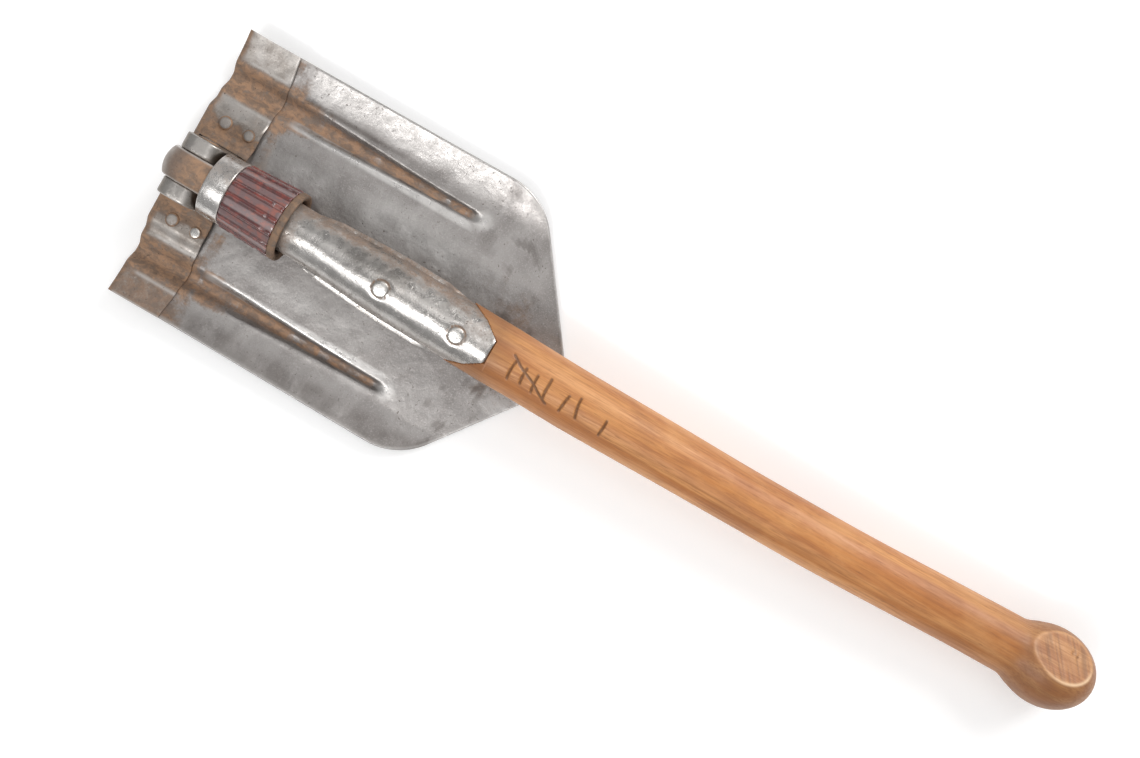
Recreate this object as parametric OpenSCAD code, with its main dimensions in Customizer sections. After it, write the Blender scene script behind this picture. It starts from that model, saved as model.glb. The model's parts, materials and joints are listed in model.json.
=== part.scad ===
// Folding camp shovel, folded: the handle lies over the dished side of the blade.
// Millimetres. +X from the hinge towards the knob, +Y across, +Z up.
// The blade pivots on a cross pin; a steel ring pushed forward by a screwed
// nut bears on the flat sides of the hinge ears and holds the blade.

/* [Blade] */
// Width of the blade across its shoulder
blade_w = 150; // [144:1:156]
// Length of the blade from shoulder to rounded tip
blade_len = 221; // [214:1:230]
// Thickness of the blade sheet
sheet_t = 2; // [1.6:0.1:2.4]
// Depth of the two stiffening grooves
groove_depth = 4.8; // [3:0.2:5.4]
// Rise of the long edges above the flat middle
dish_rise = 4.2; // [2:0.2:5]
// Thickness of the plate folded over the shoulder
plate_t = 1.6; // [1.2:0.1:1.8]

/* [Hinge] */
// Height of the hinge pin above the flat middle of the blade
pin_height = 23.5; // [23:0.5:27]
// Distance of the hinge pin from the shoulder edge
pin_setback = 13.2; // [13:0.2:14]
// Half width of the square cam shape of the ears
cam_half = 10.2; // [9.8:0.1:10.4]
// Radius of the hinge pin
pin_r = 4; // [3.5:0.1:4.5]

/* [Locking parts] */
// Outer radius of the thrust ring
ring_r = 16.8; // [16.4:0.1:17.2]
// Outer radius of the grip sleeve at its rear end
nut_r = 18.6; // [18.2:0.1:19]
// Number of ribs round the grip sleeve
ribs = 16; // [12:1:24]

/* [Handle] */
// Distance from the hinge pin to the end of the knob
handle_reach = 509.5; // [480:0.5:540]
// Radius of the wooden shaft near the socket
shaft_r = 16.1; // [15.9:0.1:16.6]
// Radius of the wooden shaft at its slim part
slim_r = 15; // [14.4:0.1:15.4]
// Greatest radius of the knob
knob_r = 20.4; // [20:0.2:21]
// Half length of the knob
knob_half_len = 24.3; // [23:0.1:26]
// Set of the socket to one side, in degrees
lean = 1.4; // [0:0.2:1.6]
// Sideways offset of the wooden shaft at its middle
bow = 3.7; // [2.8:0.1:4.4]
// Roll of the socket rivets about the handle, in degrees
rivet_roll = 6; // [0:1:15]

/* [Hidden] */
$fn = 72;
gap = 0.03;          // clearance between faces that only touch
eps = 0.01;

// Blade outline, measured from the shoulder edge
front_half_w = blade_w / 2 + 2;
corner_x = blade_len - 53.7;
point_x = blade_len + 3.4;
corner_r = 35;
tip_r = 14;
side_angle = atan(2 / corner_x);
front_angle = atan(front_half_w / (point_x - corner_x));
arc_reach = corner_r * tan((front_angle + side_angle) / 2);
arc_x1 = corner_x - arc_reach * cos(side_angle);
arc_x2 = corner_x + arc_reach * cos(front_angle);
arc_cx = arc_x1 + corner_r * sin(side_angle);
arc_cy = front_half_w - arc_reach * sin(side_angle) - corner_r * cos(side_angle);
tip_cx = point_x - tip_r / sin(front_angle);
tip_x3 = tip_cx + tip_r * sin(front_angle);
tip_end = tip_cx + tip_r - 0.15;

// Grooves and dish
groove_y = 50;
groove_end = 146;
flat_half_w = 57;

// Hinge bracket and its rivets
base_t = 2.2;
base_half_w = 31.5;
ear_in = 7.95;
ear_out = 16.5;
rivet_y = 28;
rivet_x = [9.2, 22.7];
leaf_x = 28;
lower_leaf_x = 5;

// Stations along the handle axis, from the pin
spigot_r = 14.92;
tongue_half = 7.75;
tongue_end = 12.6;
ring_front = 11.7;
ring_back = 23.4;
ring_bore_r = 15;
thread_r = 13.63;
nut_bore_r = 13.7;
nut_front = 23.5;
sleeve_back = 51.9;
nut_back = 56;
recess_front = 46;
sleeve_bore_r = 15.7;
bar_shoulder = 21.5;
shell_front = 51.5;
shell_side_end = 153;
shell_tip = 170.5;
shell_mid_x = 162;
mid_half_w = 12.2;
tip_half_w = 6.3;
shell_t = 1.2;
neck_r = 13;
shell_r = 15.7;
shank_r = neck_r - shell_t - 0.02;
shank_end = 97;
tang_r = 6;
tang_end = 124;
socket_rivet_x = [110.3, 152.8];
rivet_shank_r = 2.5;
knob_x = handle_reach - knob_half_len;
facet_dist = 16.2;
facet_roll = 32;
lean_x = 58;

// Shared frame: the lowest point is the plate's fold under the grooves
blade_top_z = sheet_t + groove_depth + plate_t + gap;
pin_z = blade_top_z + pin_height;
fold_r = (sheet_t + base_t) / 2 + gap + plate_t;
overall = handle_reach + pin_setback + fold_r;
pin_x = overall / 2 - handle_reach;
shoulder_x = pin_x - pin_setback;

function smooth(t) = let (u = max(0, min(1, t))) u * u * (3 - 2 * u);

function half_w(x) =
    x < arc_x1 ? blade_w / 2 + max(x, 0) * tan(side_angle)
    : x < arc_x2 ? arc_cy + sqrt(corner_r ^ 2 - (x - arc_cx) ^ 2)
    : x < tip_x3 ? (point_x - x) * tan(front_angle)
    : sqrt(max(0, tip_r ^ 2 - (x - tip_cx) ^ 2));

function groove_half_w(x) = 8.5 - 5 * smooth(x / groove_end);

// Height of the blade's upper face above its flat middle
function face_z(x, y) =
    let (a = abs(y),
         side = max(0, (a - flat_half_w) / (front_half_w - flat_half_w)),
         deep = groove_depth * (1 - 0.5 * smooth((x - 40) / (groove_end - 40)))
                * smooth((groove_end - x) / 9),
         u = (a - groove_y) / groove_half_w(x))
    dish_rise * side ^ 1.5 - (abs(u) < 1 ? deep * (0.5 + 0.5 * cos(180 * u)) : 0);

// Extra height of the shoulder plate over the bracket's base, and its lip at the ears
function plate_lift(y) = base_t * (1 - smooth((abs(y) - base_half_w) / 7));
function ear_lip(x, y) =
    2 * (1 - smooth((abs(y) - ear_out - 1) / 6)) * smooth((x - 1) / 5) * smooth((leaf_x + 4 - x) / 6);

// Fractions of the half width at which blade and plate are shaped, and stations along them
half_cols = [0, 0.12, 0.2, 0.235, 0.265, 0.3, 0.36, 0.42, 0.47, 0.5, 0.53, 0.555, 0.58, 0.605, 0.63,
             0.65, 0.67, 0.69, 0.71, 0.735, 0.765, 0.8, 0.85, 0.9, 0.95, 1];
n_half = len(half_cols);
cols = [for (i = [0 : 2 * n_half - 2]) i < n_half - 1 ? -half_cols[n_half - 1 - i]
                                                      : half_cols[i - n_half + 1]];
leaf_rows = [0, 2.5, lower_leaf_x, 12, 20, leaf_x];
rows = concat(leaf_rows, [for (x = [40 : 14 : 124]) x], [for (x = [130 : 4 : 150]) x],
              [for (x = [155 : 6 : 173]) x], [for (x = [180 : 8 : tip_x3 - 2]) x],
              [for (a = [50 : -20 : 10]) tip_cx + tip_r * cos(a)], [tip_end]);

// Two triangles for a four-cornered patch
function quad(a, b, c, d) = [[a, b, c], [a, c, d]];

module sheet_solid(rows, cols, top_shift, bottom_shift) {
    n = len(cols);
    m = len(rows);
    top = [for (x = rows) for (v = cols) let (y = v * half_w(x)) [x, y, face_z(x, y) + top_shift]];
    bottom = [for (x = rows) for (v = cols) let (y = v * half_w(x))
              [x, y, face_z(x, y) + bottom_shift]];
    k = m * n;
    faces = concat(
        [for (i = [0 : m - 2]) for (j = [0 : n - 2])
            for (t = quad(i * n + j, i * n + j + 1, (i + 1) * n + j + 1, (i + 1) * n + j)) t],
        [for (i = [0 : m - 2]) for (j = [0 : n - 2])
            for (t = quad(k + i * n + j, k + (i + 1) * n + j,
                          k + (i + 1) * n + j + 1, k + i * n + j + 1)) t],
        [for (i = [0 : m - 2]) for (t = quad(i * n, (i + 1) * n, k + (i + 1) * n, k + i * n)) t],
        [for (i = [0 : m - 2])
            for (t = quad((i + 1) * n - 1, k + (i + 1) * n - 1,
                          k + (i + 2) * n - 1, (i + 2) * n - 1)) t],
        [for (j = [0 : n - 2]) for (t = quad(j, k + j, k + j + 1, j + 1)) t],
        [for (j = [0 : n - 2]) let (q = (m - 1) * n)
            for (t = quad(q + j, q + j + 1, k + q + j + 1, k + q + j)) t]);
    polyhedron(points = concat(top, bottom), faces = faces, convexity = 6);
}

module rivet_holes() {
    for (x = rivet_x) for (s = [-1, 1])
        translate([x, s * rivet_y, -15])
            cylinder(r = rivet_shank_r, h = 30);
}

// Blade frame: shoulder edge at x = 0, flat middle at z = 0
module in_blade_frame() {
    translate([shoulder_x, 0, blade_top_z])
        children();
}

module blade() {
    color("gray")
        in_blade_frame()
            difference() {
                sheet_solid(rows, cols, 0, -sheet_t);
                rivet_holes();
            }
}

// One closed cross-section of the folded plate at a given fraction of the half width
bend_steps = 8;
function plate_ring(v) =
    let (y0 = v * half_w(0),
         lift = plate_lift(y0),
         mid = face_z(0, y0) + (lift - sheet_t) / 2,
         r_in = (sheet_t + lift) / 2 + gap,
         r_out = r_in + plate_t,
         upper = [for (x = leaf_rows) if (x > 0) let (y = v * half_w(x))
                  [x, y, face_z(x, y) + lift + ear_lip(x, y) + gap]],
         lower = [for (x = leaf_rows) if (x > 0 && x <= lower_leaf_x) let (y = v * half_w(x))
                  [x, y, face_z(x, y) - sheet_t - gap]],
         bend = [for (i = [0 : bend_steps]) 90 + 180 * i / bend_steps],
         n_up = len(upper),
         n_low = len(lower))
    concat([for (i = [n_up - 1 : -1 : 0]) upper[i] + [0, 0, plate_t]],
           [for (a = bend) [r_out * cos(a), y0, mid + r_out * sin(a)]],
           [for (p = lower) p - [0, 0, plate_t]],
           [for (i = [n_low - 1 : -1 : 0]) lower[i]],
           [for (i = [bend_steps : -1 : 0]) [r_in * cos(bend[i]), y0, mid + r_in * sin(bend[i])]],
           upper);

module shoulder_plate() {
    rings = [for (v = cols) plate_ring(v)];
    n = len(rings[0]);
    m = len(rings);
    half = n / 2;
    caps = [for (j = [0 : half - 2])
            for (t = quad(j, j + 1, n - 2 - j, n - 1 - j)) t];
    faces = concat(
        [for (i = [0 : m - 2]) for (j = [0 : n - 1]) let (k = (j + 1) % n)
            for (t = quad(i * n + j, i * n + k, (i + 1) * n + k, (i + 1) * n + j)) t],
        [for (t = caps) [t[2], t[1], t[0]]],
        [for (t = caps) [for (q = t) q + (m - 1) * n]]);
    color("sienna")
        in_blade_frame()
            difference() {
                polyhedron(points = [for (r = rings) for (p = r) p], faces = faces, convexity = 8);
                rivet_holes();
                translate([0.6, -ear_out - 0.7, -sheet_t / 2])
                    cube([leaf_x + 5, 2 * ear_out + 1.4, 20]);
            }
}

// Side outline of an ear about the pin: rounded square cam on a spreading foot
module ear_outline() {
    corner = 7.4;
    inner = cam_half - corner;
    foot = base_t - pin_height;
    square([2 * cam_half, 2 * inner], center = true);
    square([2 * inner, 2 * cam_half], center = true);
    for (sx = [-1, 1])
        translate([sx * inner, inner])
            circle(r = corner);
    polygon([[-cam_half, 0], [cam_half, 0], [cam_half, -15.6], [12, foot + 1.5], [12.4, foot - 0.5],
             [-12.4, foot - 0.5], [-12, foot + 1.5], [-cam_half, -15.6]]);
}

module hinge_bracket() {
    color("dimgray")
        difference() {
            union() {
                for (s = [-1, 1])
                    translate([pin_x, s * (ear_in + ear_out) / 2, pin_z])
                        rotate([90, 0, 0])
                            linear_extrude(ear_out - ear_in, center = true)
                                ear_outline();
                in_blade_frame()
                    translate([0.6, -base_half_w, gap])
                        cube([26, 2 * base_half_w, base_t - gap]);
            }
            translate([pin_x, 0, pin_z])
                rotate([90, 0, 0])
                    cylinder(r = pin_r, h = 60, center = true);
            in_blade_frame()
                rivet_holes();
        }
}

// Rivet through plate, bracket base and blade, low heads both sides
module plate_rivet(x, s, head_r) {
    top = base_t + gap + plate_t + gap;
    color("silver")
        in_blade_frame()
            translate([x, s * rivet_y, 0])
                rotate_extrude()
                    polygon([[0, -sheet_t - 1.1], [head_r - 0.6, -sheet_t - 1.1],
                             [head_r, -sheet_t - 0.6], [head_r, -sheet_t - 0.01],
                             [rivet_shank_r - 0.02, -sheet_t - 0.01], [rivet_shank_r - 0.02, top],
                             [head_r, top], [head_r, top + 0.25], [head_r - 0.8, top + 0.7],
                             [0, top + 0.9]]);
}

module hinge_pin() {
    half = ear_out + 0.9;
    color("gray")
        translate([pin_x, 0, pin_z])
            rotate([90, 0, 0]) {
                cylinder(r = pin_r, h = 2 * ear_out, center = true);
                for (s = [0, 180])
                    rotate([s, 0, 0])
                        rotate_extrude()
                            polygon([[0, ear_out - 1], [pin_r, ear_out - 1], [pin_r, ear_out + gap],
                                     [pin_r + 1, ear_out + gap], [pin_r + 0.6, half - 0.2],
                                     [pin_r - 0.6, half], [0, half]]);
            }
}

// Handle frame: origin on the pin, turned bodies along +X
module in_handle_frame() {
    translate([pin_x, 0, pin_z])
        children();
}

// Turns the socket and what it holds a little to the side, about the axis at lean_x
module leaned() {
    translate([lean_x, 0, 0])
        rotate([0, 0, -lean])
            translate([-lean_x, 0, 0])
                children();
}

module socket_rivet_hole(x) {
    translate([x, 0, 0])
        rotate([rivet_roll, 0, 0])
            cylinder(r = 3.02, h = 60, center = true);
}

module turned(points) {
    rotate([0, 90, 0])
        rotate_extrude()
            polygon(points);
}

thread_pitch = 4;
function thread_profile() =
    [for (x = [bar_shoulder + 1 : thread_pitch : 46]) for (p = [[thread_r, 0], [thread_r, 1],
     [thread_r - 0.9, 1.9], [thread_r - 0.9, 3]]) [p[0], x + p[1]]];

module spigot() {
    color("sienna")
        in_handle_frame()
            difference() {
                union() {
                    intersection() {
                        sphere(r = spigot_r);
                        translate([-20, -tongue_half, -20])
                            cube([20 + eps, 2 * tongue_half, 40]);
                    }
                    intersection() {
                        turned([[0, 0], [spigot_r, 0], [spigot_r, tongue_end + 1],
                                [0, tongue_end + 1]]);
                        translate([0, -tongue_half, -20])
                            cube([40, 2 * tongue_half, 40]);
                    }
                    turned(concat([[0, tongue_end], [spigot_r, tongue_end],
                                   [spigot_r, bar_shoulder - 0.5], [thread_r, bar_shoulder]],
                                  thread_profile(),
                                  [[thread_r, 49.5], [thread_r, 50], [shank_r - 0.3, 50.5],
                                   [shank_r - 0.3, lean_x - 1], [0, lean_x - 1]]));
                    leaned()
                        turned([[0, lean_x - 3], [shank_r - 2.3, lean_x - 3],
                                [shank_r, lean_x + 1], [shank_r, shank_end],
                                [tang_r, shank_end + 0.3], [tang_r, tang_end], [0, tang_end]]);
                }
                rotate([90, 0, 0])
                    cylinder(r = pin_r + 0.05, h = 60, center = true);
                leaned()
                    socket_rivet_hole(socket_rivet_x[0]);
            }
}

module thrust_ring() {
    color("gainsboro")
        in_handle_frame()
            turned([[ring_bore_r, ring_front + 0.2], [ring_bore_r + 0.2, ring_front],
                    [ring_r - 0.7, ring_front], [ring_r, ring_front + 0.7],
                    [ring_r, ring_back - 0.5], [ring_r - 0.5, ring_back], [ring_bore_r, ring_back]]);
}

module nut_core() {
    color("saddlebrown")
        in_handle_frame()
            turned([[nut_bore_r, nut_front + 0.3], [nut_bore_r + 0.3, nut_front],
                    [sleeve_bore_r - gap, nut_front], [sleeve_bore_r - gap, sleeve_back + gap],
                    [nut_r - 0.7, sleeve_back + gap], [nut_r - 0.2, sleeve_back + 0.7],
                    [nut_r - 0.2, nut_back - 1.2], [nut_r - 1.2, nut_back],
                    [nut_r - 2.6, nut_back], [neck_r + 1.6, nut_back - 1.2],
                    [neck_r + 1.6, recess_front], [nut_bore_r, recess_front - 0.5]]);
}

module nut_grip() {
    front_r = nut_r - 1.4;
    slope = atan(1.4 / (sleeve_back - nut_front));
    rib_r = 1.3;
    rib_h = 0.75;
    inner_r = sleeve_bore_r + 0.3;
    color("maroon")
        in_handle_frame() {
            turned([[sleeve_bore_r, nut_front], [front_r - rib_h - 0.4, nut_front],
                    [front_r - rib_h, nut_front + 0.4], [nut_r - rib_h, sleeve_back - 0.3],
                    [nut_r - rib_h - 0.3, sleeve_back], [sleeve_bore_r, sleeve_back]]);
            intersection() {
                turned([[inner_r, nut_front + 0.1], [front_r - 0.6, nut_front + 0.1],
                        [front_r + 0.1, nut_front + 0.8], [nut_r + 0.1, sleeve_back - 0.6],
                        [nut_r - 0.4, sleeve_back - 0.1], [inner_r, sleeve_back - 0.1]]);
                for (i = [0 : ribs - 1])
                    rotate([360 * i / ribs, 0, 0])
                        translate([nut_front - 1, 0, front_r - rib_r])
                            rotate([0, 90 - slope, 0])
                                cylinder(r = rib_r, h = sleeve_back - nut_front + 2, $fn = 24);
            }
        }
}

// Outer radius of the socket shells along the handle
function socket_r(x) = neck_r + (shell_r - neck_r) * smooth((x - 60) / 58);
socket_xs = concat([shell_front], [for (x = [60 : 5 : 120]) x], [shell_tip + 1]);

module shell_blank() {
    outer = [for (x = socket_xs) [socket_r(x), x]];
    inner = [for (i = [len(socket_xs) - 1 : -1 : 0]) [socket_r(socket_xs[i]) - shell_t, socket_xs[i]]];
    rotate([0, 90, 0])
        rotate([0, 0, 90])
            rotate_extrude(angle = 180)
                polygon(concat(outer, inner));
}

// Flat seam lip that stands out of a shell's long edges
module seam_lip(s) {
    lip_w = 1.9;
    lip_t = 1.1;
    xs = [for (x = [66 : 6 : 144]) x];
    outer = [for (x = xs) [x, socket_r(x) + lip_w * min(1, (x - 64) / 12, (148 - x) / 12)]];
    inner = [for (i = [len(xs) - 1 : -1 : 0]) [xs[i], socket_r(xs[i]) - shell_t / 2]];
    mirror([0, s < 0 ? 1 : 0, 0])
        translate([0, 0, gap])
            linear_extrude(lip_t)
                polygon(concat(outer, inner));
}

// Plan of the pointed rear end of a shell, grown by g
module shell_plan(g) {
    half = [[shell_front - 5, shell_r + 5], [shell_side_end + g, shell_r + 5],
            [shell_side_end + g, shell_r], [shell_mid_x + g, mid_half_w + g / 2],
            [shell_tip + g, tip_half_w + g / 2]];
    other = [for (i = [len(half) - 1 : -1 : 0]) [half[i][0], -half[i][1]]];
    polygon(concat(half, other));
}

module socket_shell(turn) {
    color("silver")
        in_handle_frame()
            leaned()
                difference() {
                    rotate([turn, 0, 0])
                        intersection() {
                            union() {
                                intersection() {
                                    shell_blank();
                                    translate([0, -30, gap])
                                        cube([200, 60, 30]);
                                }
                                for (s = [-1, 1])
                                    seam_lip(s);
                            }
                            linear_extrude(40)
                                shell_plan(0);
                        }
                    for (x = socket_rivet_x)
                        socket_rivet_hole(x);
                }
}

module socket_rivet(x) {
    color("white")
        in_handle_frame()
            leaned()
                rotate([rivet_roll, 0, 0])
                    translate([x, 0, 0]) {
                        cylinder(r = 3, h = 2 * shell_r, center = true);
                        for (s = [0, 180])
                            rotate([s, 0, 0])
                                rotate_extrude()
                                    polygon([[0, shell_r - 1], [2.9, shell_r - 1],
                                             [2.9, shell_r + gap], [4.1, shell_r + gap],
                                             [4.1, shell_r + 0.3], [3.5, shell_r + 0.65],
                                             [0, shell_r + 0.8]]);
                    }
}

// Outer radius of the wood along the handle: shaft, easing into an egg-shaped knob
function shaft_radius(x) = slim_r + (shaft_r - slim_r) * (1 - smooth((x - 170) / 190));
function knob_radius(x) = knob_r * sqrt(max(0, 1 - ((x - knob_x) / knob_half_len) ^ 2));
function shaft_share(x) = shaft_radius(x) * (1 - smooth((x - knob_x + 14) / 14));
function wood_radius(x) = (shaft_share(x) ^ 9 + knob_radius(x) ^ 9) ^ (1 / 9);

// Sideways offset of the wood: in line with the socket, then bowed, back on the axis at the knob
socket_set = tan(lean) * (shell_tip - lean_x);
function bow_y(x) = -tan(lean) * (min(x, shell_tip) - lean_x)
    - (bow - socket_set) * smooth((x - shell_tip) / 55)
    + bow * smooth((x - knob_x + 150) / 150);

// Solid through rings of n points about the bowed axis, each given as [radius, x],
// closed by a flat start and by a pointed end at x_end
module bowed(profile, x_end, n) {
    m = len(profile);
    x_start = profile[0][1];
    points = concat(
        [for (p = profile) for (j = [0 : n - 1]) let (a = 360 * j / n)
            [p[1], bow_y(p[1]) + p[0] * cos(a), p[0] * sin(a)]],
        [[x_start, bow_y(x_start), 0], [x_end, bow_y(x_end), 0]]);
    faces = concat(
        [for (i = [0 : m - 2]) for (j = [0 : n - 1]) let (k = (j + 1) % n)
            for (t = quad(i * n + j, (i + 1) * n + j, (i + 1) * n + k, i * n + k)) t],
        [for (j = [0 : n - 1]) [m * n, j, (j + 1) % n]],
        [for (j = [0 : n - 1]) [m * n + 1, (m - 1) * n + (j + 1) % n, (m - 1) * n + j]]);
    polyhedron(points = points, faces = faces, convexity = 4);
}

module handle() {
    wood_start = shell_side_end + 0.2;
    neck_end = knob_x - 24;
    shaft_xs = [for (x = [wood_start : 10 : neck_end - 4]) x];
    neck_xs = [for (x = [neck_end : 2.5 : knob_x - 5]) x];
    end_xs = [for (i = [0 : 11]) knob_x + knob_half_len * sin(7.5 * i)];
    wood = [for (x = concat(shaft_xs, neck_xs, end_xs)) [wood_radius(x), x]];
    color("peru")
        in_handle_frame()
            difference() {
                union() {
                    leaned()
                        turned(concat([[0, shank_end + 0.5],
                                       [socket_r(shank_end) - shell_t - 0.05, shank_end + 0.5]],
                                      [for (x = [100 : 5 : 120]) [socket_r(x) - shell_t - 0.05, x]],
                                      [[shell_r - shell_t - 0.05, shell_tip + 2],
                                       [0, shell_tip + 2]]));
                    difference() {
                        bowed(wood, handle_reach, 48);
                        leaned()
                            linear_extrude(80, center = true)
                                shell_plan(0.2);
                    }
                }
                leaned() {
                    turned([[0, 0], [tang_r + 0.1, 0], [tang_r + 0.1, tang_end + 0.3],
                            [0, tang_end + 0.3]]);
                    for (x = socket_rivet_x)
                        socket_rivet_hole(x);
                }
                translate([knob_x, 0, 0])
                    rotate([-facet_roll, 0, 0])
                        translate([-30, -30, facet_dist])
                            cube([60, 60, 20]);
            }
}

blade();
shoulder_plate();
hinge_bracket();
plate_rivet(rivet_x[0], 1, 3.6);  // plate_rivet_1
plate_rivet(rivet_x[1], 1, 3.2);  // plate_rivet_2
plate_rivet(rivet_x[0], -1, 3.6);  // plate_rivet_3
plate_rivet(rivet_x[1], -1, 3);  // plate_rivet_4
hinge_pin();
spigot();
thrust_ring();
nut_core();
nut_grip();
socket_shell(0);  // socket_shell_upper
socket_shell(180);  // socket_shell_lower
socket_rivet(socket_rivet_x[0]);  // socket_rivet_front
socket_rivet(socket_rivet_x[1]);  // socket_rivet_rear
handle();
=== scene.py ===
"""Folding camp shovel, folded: worn steel blade, hinge with screwed ring lock, wooden handle.

Lengths are in millimetres until a mesh is stored, when they become metres in the row frame.
"""
import json
import math

import bmesh
import bpy
import numpy as np
from mathutils import Matrix, Vector, noise


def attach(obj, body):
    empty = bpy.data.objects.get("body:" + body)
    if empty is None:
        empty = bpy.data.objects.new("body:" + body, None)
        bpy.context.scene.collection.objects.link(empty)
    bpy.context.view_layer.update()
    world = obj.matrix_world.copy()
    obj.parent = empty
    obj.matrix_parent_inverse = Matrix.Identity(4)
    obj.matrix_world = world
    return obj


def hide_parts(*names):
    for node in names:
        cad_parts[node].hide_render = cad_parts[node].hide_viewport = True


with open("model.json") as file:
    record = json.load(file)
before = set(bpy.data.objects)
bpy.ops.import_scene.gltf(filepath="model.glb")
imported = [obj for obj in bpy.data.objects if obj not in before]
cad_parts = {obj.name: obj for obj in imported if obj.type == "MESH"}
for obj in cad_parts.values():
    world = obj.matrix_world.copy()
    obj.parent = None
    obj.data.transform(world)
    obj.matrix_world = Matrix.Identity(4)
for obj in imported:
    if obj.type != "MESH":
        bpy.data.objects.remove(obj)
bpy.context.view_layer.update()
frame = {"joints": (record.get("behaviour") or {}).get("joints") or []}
MM = 0.001

# ---------------------------------------------------------------- shared dimensions, mm
joint = {j["name"]: j for j in frame["joints"]}
PIN = np.array(joint["blade_fold"]["pos_m"]) / MM
PIN_HEIGHT = 23.5
SETBACK = 13.2
SHOULDER = PIN - np.array([SETBACK, 0, PIN_HEIGHT])

BLADE_W = 150.0
BLADE_LEN = 221.0
SHEET_T = 2.0
SHEET_RIM = 0.8
GROOVE_DEPTH = 4.8
GROOVE_Y = 50.0
GROOVE_END = 146.0
DISH_RISE = 4.2
FLAT_HALF_W = 57.0
PLATE_T = 1.6
GAP = 0.03
LEAF_X = 28.0
LOWER_LEAF_X = 5.0
BASE_T = 2.2
BASE_HALF_W = 31.5
RIVET_Y = 28.0
RIVET_X = (9.2, 22.7)
EAR_IN = 7.95
EAR_OUT = 16.5
CAM_HALF = 10.2
PIN_R = 4.0
SPIGOT_R = 14.92
TONGUE_HALF = 7.75
TONGUE_END = 12.6
RING_R = 16.8
RING_X = (11.7, 23.4)
NUT_R = 18.6
NUT_X = (23.5, 51.9, 56.0)
RIBS = 16
RIB_R = 1.3
RIB_H = 0.75
SLEEVE_BORE_R = 15.7
THREAD_R = 13.63
THREAD_ROOT_R = 12.73
THREAD_PITCH = 4.0
RELIEF_R = 11.5
SHANK_R = 11.75
SHANK_END = 97.0
TANG_R = 6.0
TANG_END = 124.0
NECK_R = 13.0
SHELL_R = 15.7
SHELL_T = 1.2
SHELL_X = (51.5, 153.0, 162.0, 170.5)
SHELL_HALF_W = (15.7, 15.7, 12.2, 6.3)
LEAN = math.radians(1.4)
LEAN_X = 58.0
RIVET_ROLL = math.radians(6)
BOW = 3.7
SOCKET_RIVET_X = (110.3, 152.8)
HANDLE_REACH = 509.5
SHAFT_R = 16.1
SLIM_R = 15.0
KNOB_R = 20.4
KNOB_HALF_LEN = 24.3
KNOB_X = HANDLE_REACH - KNOB_HALF_LEN
FACET_DIST = 16.2
FACET_ROLL = math.radians(32)


def smooth(t):
    u = np.clip(t, 0, 1)
    return u * u * (3 - 2 * u)


def noise_field(x, y, z, size, seed=0.0):
    """Smooth noise, about -1 to 1, with features of the given size in mm."""
    flat = np.broadcast_arrays(np.asarray(x, float), y, z)
    out = np.empty(flat[0].size)
    for i, p in enumerate(zip(flat[0].flat, flat[1].flat, flat[2].flat)):
        out[i] = noise.noise(Vector((p[0] / size + seed, p[1] / size, p[2] / size + 7.3)))
    return out.reshape(flat[0].shape)


def coarse_noise(x, y, z, size, seed, rows, columns=1):
    """noise_field worked out at every few points of a grid and repeated between them."""
    picked = (slice(None, None, rows), slice(None, None, columns))
    field = noise_field(x[picked], y[picked], z[picked], size, seed)
    return np.repeat(np.repeat(field, rows, 0), columns, 1)[: x.shape[0], : x.shape[1]]


# ---------------------------------------------------------------- node materials
# Places of the colour sockets on a mix node, which share their names with its other sockets
MIX_COLOUR_A = 6
MIX_COLOUR_B = 7
MIX_COLOUR_OUT = 2


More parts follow.
